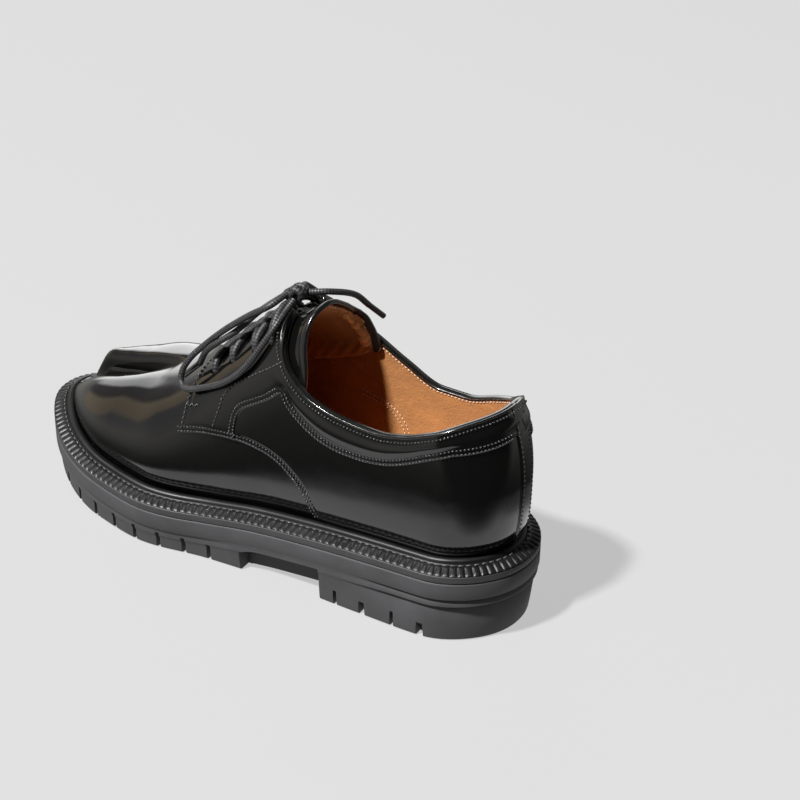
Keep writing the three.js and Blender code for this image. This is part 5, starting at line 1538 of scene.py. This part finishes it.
def build_outsole():
    """Outsole with its heel block, arch, side recesses, slits and side steps."""
    u = even_u(760)
    y = outline(u)[:, 1]
    line, low, t = line_z(y), sole_bottom(y), sole_taper(y)
    heel, step = heel_share(y), side_step(y)
    levels = [
        (t + 1.5, low), (t + 0.7, low + 0.25), (t + 0.2, low + 0.75), (t, low + 1.5),
        (t * 0.75 + (step + 0.5) * 0.25, low * 0.7 + (line - 14.6) * 0.3),
        (step + 0.75 + 0.2 * heel, line - 14.9), (step + 0.5 + 0.9 * heel, line - 14.1),
        (step + 0.3 + 0.9 * heel, line - 13.5),
        (step - 0.3 * heel, line - 12.9), (step - 0.45 * heel, line - 12.3), (step + 0.1, line - 10.6),
        (step + 0.1 + 0.5 * heel, line - 9.7), (step * 0.75 + 0.55 * heel, line - 9.15), (0.25 + 0 * y, line - 8.75),
        (0 * y, line - 8.3), (0 * y, line - 4.4), (0 * y, line - 0.9), (0.12 + 0 * y, line - 0.45),
        (0.5 + 0 * y, line - 0.12), (1.0 + 0 * y, line),
    ]
    z_floor = low + 1.6
    fixed = []
    for k, (inset, z) in enumerate(levels):
        if 4 <= k <= 12:
            z = np.maximum(z, z_floor + 0.25 * (k - 3))
        fixed.append((np.asarray(inset, float), z))
    pts, faces = ring_mesh(u, fixed)
    obj = mesh_object("outsole_lugged", pts, faces, FINISH["outsole"], replaces=("outsole",))
    arch = ((-6, -3), (-6, 0.3), (-49, 5), (-49, -3))
    carve(obj, *prism([[(x, yy, z) for yy, z in arch] for x in (-80, 80)]))
    for side in (-1, 1):
        sections = []
        for yy in np.linspace(-49, -4, 12):
            edge = side_edge(yy, side)
            deep, up = edge - side * 9.0, float(line_z(yy)) - 11.6
            end = 1 - 0.16 * max(0, (yy + 14) / 10) ** 2
            far = edge + side * 20
            sections.append([(deep, yy, -4), (far, yy, -4), (far, yy, up * end + 0.6),
                             (edge - side * 1.2, yy, up * end), (deep, yy, up * end)])
        carve(obj, *prism(sections))
    cutters = []
    for side in (-1, 1):
        rows = [(yy, 2.2 if yy > 30 else 2.4, 9.0, 11.0) for yy in SLITS] + [(yy, w, h, 7.0) for yy, w, h in NOTCHES]
        for yy, w, h, deep in rows:
            edge = side_edge(yy, side)
            z0 = float(sole_bottom(yy))
            wall = edge - side * (float(sole_taper(yy)) * 0.8 + 0.6)
            sections = []
            for x, grow in ((edge - side * deep, 0.0), (wall - side * 0.8, 0.0), (wall + side * 6, 3.2)):
                ww, roof = w + grow, z0 + h + grow * 0.5
                sections.append([(x, yy - ww / 2, z0 - 4), (x, yy + ww / 2, z0 - 4),
                                 (x, yy + ww * 0.32, roof), (x, yy - ww * 0.32, roof)])
            cutters.append(prism(sections))
    carve(obj, *joined(cutters), sharp=38)
    return obj


# ---------------------------------------------------------------- laces


KNOT = np.array([0, -13.3, 135.2])
KNOT_RADII = np.array([5.2, 4.4, 3.8])
LOOP_LATERAL = ((-14, -7.9, 133.4), (-16, 1.9, 126.7), (-18, 14.3, 116.8), (-19.5, 26, 105.6), (-22.5, 32.2, 98.4),
                (-25.4, 35.2, 91.8), (-27.4, 34.6, 87.0), (-29.6, 30.4, 85.8), (-29.6, 21.5, 88.8), (-29.8, 7.2, 96.6),
                (-28.5, -3.2, 106.6), (-24.2, -10.3, 118.6), (-19, -14.2, 127.2), (-11, -14.4, 131.4))
END_LATERAL = ((-7, -3.5, 8.6), (-13, 5, 8.8), (-16.5, 17, 10.5))
TIP_LATERAL = ((-19.03, 29.95, 94.26), (-20, 39.1, 85.2))
LOOP_MEDIAL = ((13, -12, 8.4), (20, -11.5, 8.2), (25.5, -7, 7), (28, 3, 5.4), (30.5, 15, 4.8), (32, 25, 4.8),
               (31.5, 33, 5), (27.5, 34.5, 6), (24.5, 25, 7.8), (23, 12, 8), (18.5, 3, 8.2), (11, -3.5, 8.6))
END_MEDIAL = ((8, -25.8, 136.0), (21.5, -31.2, 130.0), (27, -34.3, 123.8))
TIP_MEDIAL = ((27.2, -34.55, 123.45), (33, -40.2, 115.9))


def knot_exit(direction):
    """Point where a lace leaves the knot in a direction."""
    d = unit(np.asarray(direction, float))
    return KNOT + d * (1 / np.linalg.norm(d / KNOT_RADII) + 0.9)


def tip_object(name, ends, node):
    """Moulded lace tip: a smooth sleeve with a rounded nose and a crimped mouth."""
    a, b = np.array(ends[0], float), np.array(ends[1], float)
    path = a + (b - a) * np.linspace(0, 1, 40)[:, None]
    _, p, r = tube_frames(path)
    share = np.linspace(0, 1, 40)
    radius = 1.36 * np.minimum(1, np.sqrt(np.maximum(0.02, (1 - share) / 0.06)))
    radius = radius * (1 + 0.05 * np.exp(-((share / 0.05) ** 2)))
    phi = np.linspace(0, 2 * math.pi, 28, endpoint=False)
    lap = 1 + 0.045 * smooth(0, 0.4, (phi % (2 * math.pi)))
    ring = p[:, None] * np.cos(phi)[None, :, None] + r[:, None] * np.sin(phi)[None, :, None]
    pts = path[:, None] + ring * radius[:, None, None] * lap[None, :, None]
    faces = [tuple(f) for f in quads(40, 28, 0, True)]
    faces += [tuple(range(27, -1, -1)), tuple(39 * 28 + i for i in range(28))]
    return mesh_object(name, pts.reshape(-1, 3), faces, FINISH["tip"], sharp=50, replaces=(node,))


def free_lace(name, points, node):
    """One loose cord of the bow, from the knot along its points."""
    cord = braided(points, LACE_D)
    path = cord[3]
    obj = lace_mesh(name, [cord], node)
    tuple(to_row(path[:1])[0])
    to_row(path).tolist()
    return obj


def build_bow():
    """Two loops, two ends and their tips."""
    tip_a = tip_object("lace_tip_sleeve_lateral", TIP_LATERAL, "lace_tip_lateral")
    tip_b = tip_object("lace_tip_sleeve_medial", TIP_MEDIAL, "lace_tip_medial")
    loop = [knot_exit((-0.9, 0.3, 0.3)), *LOOP_LATERAL, knot_exit((-0.95, -0.3, -0.1))]
    free_lace("bow_loop_lateral", loop, "lace_loop_lateral")
    xyo = np.array(LOOP_MEDIAL)
    mid = above(xyo[:, 0], xyo[:, 1], xyo[:, 2])
    loop = [knot_exit((0.95, 0.15, 0.1)), *mid, knot_exit((0.55, 0.8, -0.1))]
    free_lace("bow_loop_medial", loop, "lace_loop_medial")
    xyo = np.array(END_LATERAL)
    mid = above(xyo[:, 0], xyo[:, 1], xyo[:, 2])
    end = [knot_exit((-0.2, 0.85, -0.2)), *mid, (-19, 29.6, 94.6)]
    free_lace("bow_end_lateral", end, "lace_end_lateral")
    end = [knot_exit((0.5, -0.85, 0.1)), *END_MEDIAL]
    free_lace("bow_end_medial", end, "lace_end_medial")


def build_knot():
    """Turns of lace drawn round the middle of the bow."""
    parts = []
    for shift, lean, start in ((-2.4, 0.25, 0.0), (1.0, -0.2, 2.2)):
        t = np.linspace(start, start + 2 * math.pi * 1.12, 40)
        drift = shift + (t - t[0]) / (2 * math.pi) * 2.2 + lean * np.cos(t)
        ring = np.stack([drift, 3.0 * np.cos(t), 2.5 * np.sin(t)], -1)
        parts.append(braided(KNOT + ring, LACE_D, smoothed=False))
    cross = [(-6.5, 0.6, 0.7), (-3, 0.5, 1.0), (0, -0.3, 0.2), (3, -0.4, -0.6), (6.3, 0.2, -0.4)]
    parts.append(braided([KNOT + np.array(c) for c in cross], LACE_D))
    return lace_mesh("bow_knot", parts, "lace_knot")


def eyelet_place(k, side, shift=0.0):
    """Middle of an eyelet, seen from above."""
    y, off = (EYELETS_LATERAL if side < 0 else EYELETS)[k]
    return spine_x(y) + side * off, y + shift


def strand_points(k0, side0, k1, side1, height):
    """Lace from one eyelet up over both edges and into the other eyelet."""
    rest = 1.7 + LACE_D / 2 + 0.1
    (x0, y0), (x1, y1) = eyelet_place(k0, side0), eyelet_place(k1, side1)
    rows = ((0.0, -1.6), (0.0, 0.6), (0.035, 2.6), (0.1, rest + 0.15), (0.22, rest), (0.36, rest - 0.1),
            (0.5, rest + height), (0.64, rest - 0.1), (0.78, rest), (0.9, rest + 0.15), (0.965, 2.6), (1.0, 0.6), (1.0, -1.6))
    t = np.array([r[0] for r in rows])
    return above(x0 + (x1 - x0) * t, y0 + (y1 - y0) * t, np.array([r[1] for r in rows]))


def build_lacing():
    """Crossed rows of lace through the four pairs of eyelets, and their way up to the knot."""
    parts = [braided(strand_points(0, -1, 0, 1, -1.0), LACE_D)]
    for k in range(3):
        parts.append(braided(strand_points(k, -1, k + 1, 1, -2.4), LACE_D))
        parts.append(braided(strand_points(k, 1, k + 1, -1, 0.8), LACE_D))
    for side in (-1, 1):
        x, y = eyelet_place(3, side)
        rise = above(x, y, np.array([-1.6]))[0]
        path = [rise, above(x, y, 2.0)[0], above(x - side * 4, y - 0.5, 4.2)[0], above(x - side * 11, y - 1, 5.6)[0],
                KNOT + np.array([side * 4.5, 0, -1.5]), KNOT + np.array([side * 1.0, 0.4, 0.2])]
        parts.append(braided(path, LACE_D))
    return lace_mesh("lacing", parts, "lace_bars")


# ---------------------------------------------------------------- camera and stage


CAMERA_AT = (-0.5993, -0.4166, 0.5020)
CAMERA_RIGHT, CAMERA_UP, CAMERA_BACK = (0.5136, -0.8579, 0.0170), (0.4279, 0.2733, 0.8615), (-0.7437, -0.4352, 0.5074)


def place_camera():
    """Camera of the picture, from its place and its three axes."""
    data = bpy.data.cameras.new("camera")
    data.lens, data.sensor_width = bpy.context.scene.shoe_stage.lens, 36
    data.clip_start, data.clip_end = 0.02, 50
    cam = bpy.data.objects.new("camera", data)
    bpy.context.scene.collection.objects.link(cam)
    m = np.eye(4)
    m[:3, 0], m[:3, 1], m[:3, 2], m[:3, 3] = CAMERA_RIGHT, CAMERA_UP, CAMERA_BACK, CAMERA_AT
    cam.matrix_world = Matrix(m.tolist())
    bpy.context.scene.camera = cam


def area_light(name, at, aim, size, power, color=(1, 1, 1)):
    """Square light that points at a place."""
    data = bpy.data.lights.new(name, "AREA")
    data.shape, data.size, data.size_y = "RECTANGLE", *size
    data.energy, data.color = power, color
    obj = bpy.data.objects.new(name, data)
    bpy.context.scene.collection.objects.link(obj)
    z = unit(np.array(at, float) - np.array(aim, float))
    x = unit(np.cross([0, 0, 1.0], z))
    m = np.eye(4)
    m[:3, 0], m[:3, 1], m[:3, 2], m[:3, 3] = x, np.cross(z, x), z, at
    obj.matrix_world = Matrix(m.tolist())
    return obj


def room_patch(nodes, links, way, total, aim, inner, outer, color):
    """Adds a soft patch of light to the room in one direction: inner and outer are cosines."""
    dot = add_node(nodes, "ShaderNodeVectorMath")
    dot.operation = "DOT_PRODUCT"
    dot.inputs[1].default_value = tuple(float(v) for v in unit(np.array(aim, float)))
    links.new(way, dot.inputs[0])
    mask = add_node(nodes, "ShaderNodeMapRange")
    mask.interpolation_type = "SMOOTHSTEP"
    mask.inputs["From Min"].default_value, mask.inputs["From Max"].default_value = outer, inner
    links.new(dot.outputs["Value"], mask.inputs["Value"])
    mix = nodes.new("ShaderNodeMix")
    mix.data_type = "RGBA"
    links.new(mask.outputs["Result"], mix.inputs[0])
    links.new(total, mix.inputs[6])
    mix.inputs[7].default_value = (*color, 1)
    return mix.outputs[2]


# The room by height: 0 straight down, 1 straight up.
ROOM = (
    (0.0, (0.5, 0.5, 0.5)), (0.075, (0.8, 0.8, 0.8)), (0.185, (0.86, 0.86, 0.86)), (0.203, (0.8, 0.8, 0.8)),
    (0.218, (0.2, 0.2, 0.2)), (0.235, (0.035, 0.035, 0.035)), (0.31, (0.1, 0.1, 0.095)), (0.4, (0.3, 0.3, 0.28)),
    (0.475, (0.42, 0.4, 0.36)), (0.56, (0.33, 0.33, 0.34)),
    (0.65, (0.27, 0.27, 0.28)), (0.8, (0.25, 0.24, 0.22)), (1.0, (0.12, 0.12, 0.12)),
)


# Parts of the room by direction: where to, the cosines that it fills and fades at, its light.
ROOM_PATCHES = (
    ((-0.5, -0.75, 0.45), 0.5, 0.3, (0.03, 0.03, 0.03)),
    ((0.74, 0.3, 0.6), 0.95, 0.86, (0.06, 0.06, 0.06)),
    ((-0.02, 0.96, 0.28), 0.975, 0.93, (0.62, 0.51, 0.37)),
    ((0.3, 0.87, 0.38), 0.985, 0.955, (0.16, 0.15, 0.15)),
    ((0.6, 0.72, 0.35), 0.975, 0.955, (1.45, 1.45, 1.47)),
    ((0.8, 0.58, 0.12), 0.972, 0.935, (2.0, 2.0, 2.0)),
)


# The main light, in metres: its place, what it points at and its sides.
KEY_AT, KEY_AIM, KEY_SIZE = (-3.92, 1.84, 6.77), (0, 0, 0.05), (0.55, 0.55)
FLOOR_HALF = 14


def build_stage():
    """Pale floor, the room's light by direction and the main light."""
    look = bpy.context.scene.shoe_stage
    m, nodes, links, shader = new_material("stage_floor")
    coord = add_node(nodes, "ShaderNodeTexCoord").outputs["Object"]
    noise = add_node(nodes, "ShaderNodeTexNoise", Scale=3.0, Detail=2.0)
    links.new(coord, noise.inputs["Vector"])
    tone = tuple(look.floor_color)
    paler = tuple(min(1, c * 1.01) for c in tone)
    links.new(tint(nodes, links, noise.outputs["Fac"], tone, paler), shader.inputs["Base Color"])
    shader.inputs["Roughness"].default_value = 0.9
    shader.inputs["Specular IOR Level"].default_value = 0.0
    shader.inputs["Emission Color"].default_value = (1, 1, 1, 1)
    shader.inputs["Emission Strength"].default_value = look.floor_glow
    mesh = bpy.data.meshes.new("floor")
    corners = [(x * FLOOR_HALF, y * FLOOR_HALF, 0) for x, y in ((-1, -1), (1, -1), (1, 1), (-1, 1))]
    mesh.from_pydata(corners, [], [(0, 1, 2, 3)])
    floor = bpy.data.objects.new("floor", mesh)
    bpy.context.scene.collection.objects.link(floor)
    mesh.materials.append(m)
    floor.visible_glossy = False
    world = bpy.data.worlds.new("studio")
    bpy.context.scene.world = world
    world.use_nodes = True
    nodes, links = world.node_tree.nodes, world.node_tree.links
    back = nodes["Background"]
    way = add_node(nodes, "ShaderNodeTexCoord").outputs["Generated"]
    split = add_node(nodes, "ShaderNodeSeparateXYZ")
    links.new(way, split.inputs["Vector"])
    height = add_node(nodes, "ShaderNodeMapRange")
    height.inputs["From Min"].default_value, height.inputs["From Max"].default_value = -1, 1
    links.new(split.outputs["Z"], height.inputs["Value"])
    room = nodes.new("ShaderNodeValToRGB")
    stops = room.color_ramp.elements
    stops[0].position, stops[0].color = ROOM[0][0], (*ROOM[0][1], 1)
    stops[1].position, stops[1].color = ROOM[-1][0], (*ROOM[-1][1], 1)
    for at, c in ROOM[1:-1]:
        stops.new(at).color = (*c, 1)
    links.new(height.outputs["Result"], room.inputs["Fac"])
    total = room.outputs["Color"]
    for aim, inner, outer, color in ROOM_PATCHES:
        total = room_patch(nodes, links, way, total, aim, inner, outer, color)
    links.new(total, back.inputs["Color"])
    back.inputs["Strength"].default_value = look.room_strength
    area_light("key", KEY_AT, KEY_AIM, KEY_SIZE, look.key_power)
    bpy.context.scene.view_settings.view_transform = "Standard"


# ---------------------------------------------------------------- properties, operators and panel


def dye(name, description, default):
    """Property for a colour."""
    return bpy.props.FloatVectorProperty(name=name, description=description, default=default,
                                         subtype="COLOR", size=3, min=0, max=1)


class ShoeFinish(bpy.types.PropertyGroup):
    """Colours of the shoe"""

    leather_color: dye("Upper leather", "Dye of the polished upper", (0.0022, 0.0021, 0.002))
    lining_color: dye("Lining leather", "Dye of the lining and the sock", (0.5, 0.212, 0.066))
    rubber_color: dye("Sole rubber", "Colour of the moulded sole", (0.042, 0.042, 0.044))
    lace_color: dye("Lace yarn", "Colour of the braided laces", (0.012, 0.012, 0.013))


class ShoeDetail(bpy.types.PropertyGroup):
    """Fine sizes of the shoe"""

    rib_pitch: bpy.props.FloatProperty(
        name="Rib pitch", description="Distance between the wheel marks of the welt",
        subtype="DISTANCE", unit="LENGTH", default=0.0036, min=0.002, max=0.01)


class ShoeStage(bpy.types.PropertyGroup):
    """Camera, lights and floor"""

    lens: bpy.props.FloatProperty(
        name="Lens", description="Focal length of the camera",
        subtype="DISTANCE_CAMERA", unit="CAMERA", default=79.44, min=20, max=300)
    key_power: bpy.props.FloatProperty(
        name="Key light", description="Power of the main soft light",
        subtype="POWER", unit="POWER", default=1440, min=0)
    room_strength: bpy.props.FloatProperty(
        name="Room light", description="Strength of the room around the shoe", default=1.0, min=0)
    floor_glow: bpy.props.FloatProperty(
        name="Floor glow", description="Even light that the floor gives by itself", default=0.505, min=0)
    floor_color: dye("Floor", "Colour of the floor", (0.12, 0.12, 0.12))


class SHOE_OT_mix_finishes(bpy.types.Operator):
    """Makes the leather, rubber, yarn and thread materials"""

    bl_idname = "shoe.mix_finishes"
    bl_label = "Mix finishes"

    def execute(self, context):
        mix_finishes()
        return {"FINISHED"}


class SHOE_OT_place_camera(bpy.types.Operator):
    """Puts the camera where the shoe is seen from"""

    bl_idname = "shoe.place_camera"
    bl_label = "Place camera"

    def execute(self, context):
        place_camera()
        return {"FINISHED"}


class SHOE_OT_tie_bow(bpy.types.Operator):
    """Lays the bow's loops, ends, tips and knot"""

    bl_idname = "shoe.tie_bow"
    bl_label = "Tie bow"

    def execute(self, context):
        build_bow()
        build_knot()
        return {"FINISHED"}


class SHOE_OT_lace_up(bpy.types.Operator):
    """Runs the lace through the eyelets"""

    bl_idname = "shoe.lace_up"
    bl_label = "Lace up"

    def execute(self, context):
        build_lacing()
        return {"FINISHED"}


class SHOE_OT_last_upper(bpy.types.Operator):
    """Builds the vamp, lining and cleft"""

    bl_idname = "shoe.last_upper"
    bl_label = "Last upper"

    def execute(self, context):
        build_upper()
        build_gusset()
        return {"FINISHED"}


class SHOE_OT_sew_quarters(bpy.types.Operator):
    """Lays the quarters, facings, collar bands and backstay on the upper"""

    bl_idname = "shoe.sew_quarters"
    bl_label = "Sew quarters"

    def execute(self, context):
        for build in (build_quarter, build_band):
            for side in (-1, 1):
                build(side)
        build_backstay()
        return {"FINISHED"}


class SHOE_OT_bind_collar(bpy.types.Operator):
    """Folds the collar's edge and sews it"""

    bl_idname = "shoe.bind_collar"
    bl_label = "Bind collar"

    def execute(self, context):
        build_binding()
        return {"FINISHED"}


class SHOE_OT_sew_seams(bpy.types.Operator):
    """Adds the thread of the seams"""

    bl_idname = "shoe.sew_seams"
    bl_label = "Sew seams"

    def execute(self, context):
        build_seam_stitches()
        return {"FINISHED"}


class SHOE_OT_set_tongue(bpy.types.Operator):
    """Builds the tongue with its bound edge"""

    bl_idname = "shoe.set_tongue"
    bl_label = "Set tongue"

    def execute(self, context):
        build_tongue()
        return {"FINISHED"}


class SHOE_OT_lay_sock(bpy.types.Operator):
    """Builds the sock liner and the lining's seam"""

    bl_idname = "shoe.lay_sock"
    bl_label = "Lay sock"

    def execute(self, context):
        build_insole()
        build_lining_seam()
        return {"FINISHED"}


class SHOE_OT_mould_outsole(bpy.types.Operator):
    """Builds the lugged outsole"""

    bl_idname = "shoe.mould_outsole"
    bl_label = "Mould outsole"

    def execute(self, context):
        build_outsole()
        return {"FINISHED"}


class SHOE_OT_fit_midsole(bpy.types.Operator):
    """Builds the midsole band"""

    bl_idname = "shoe.fit_midsole"
    bl_label = "Fit midsole"

    def execute(self, context):
        build_midsole()
        return {"FINISHED"}


class SHOE_OT_stitch_welt(bpy.types.Operator):
    """Builds the welt with its wheel marks and stitches"""

    bl_idname = "shoe.stitch_welt"
    bl_label = "Stitch welt"

    def execute(self, context):
        build_welt()
        return {"FINISHED"}


class SHOE_OT_set_stage(bpy.types.Operator):
    """Builds the floor, the room and the lights"""

    bl_idname = "shoe.set_stage"
    bl_label = "Set stage"

    def execute(self, context):
        build_stage()
        return {"FINISHED"}


OPERATORS = [
    SHOE_OT_mix_finishes, SHOE_OT_place_camera, SHOE_OT_tie_bow, SHOE_OT_lace_up, SHOE_OT_last_upper,
    SHOE_OT_sew_quarters, SHOE_OT_bind_collar, SHOE_OT_sew_seams, SHOE_OT_set_tongue, SHOE_OT_lay_sock,
    SHOE_OT_mould_outsole, SHOE_OT_fit_midsole, SHOE_OT_stitch_welt, SHOE_OT_set_stage,
]


class SHOE_PT_panel(bpy.types.Panel):
    """Sizes, colours and steps of the shoe"""

    bl_idname = "SHOE_PT_panel"
    bl_label = "Shoe"
    bl_space_type = "VIEW_3D"
    bl_region_type = "UI"
    bl_category = "Shoe"

    def draw(self, context):
        for group in (context.scene.shoe_finish, context.scene.shoe_detail, context.scene.shoe_stage):
            for name in group.__annotations__:
                self.layout.prop(group, name)
        for cls in OPERATORS:
            self.layout.operator(cls.bl_idname)


GROUPS = {"shoe_finish": ShoeFinish, "shoe_detail": ShoeDetail, "shoe_stage": ShoeStage}


def register():
    """Adds the properties, operators and panel."""
    for name, cls in GROUPS.items():
        bpy.utils.register_class(cls)
        setattr(bpy.types.Scene, name, bpy.props.PointerProperty(type=cls))
    for cls in OPERATORS + [SHOE_PT_panel]:
        bpy.utils.register_class(cls)


def unregister():
    """Takes them away again."""
    for cls in [SHOE_PT_panel] + OPERATORS[::-1]:
        bpy.utils.unregister_class(cls)
    for name, cls in GROUPS.items():
        delattr(bpy.types.Scene, name)
        bpy.utils.unregister_class(cls)


def main():
    """Builds the shoe with its operators."""
    register()
    for cls in OPERATORS:
        getattr(bpy.ops.shoe, cls.bl_idname.split(".")[1])()


if __name__ == "__main__":
    main()
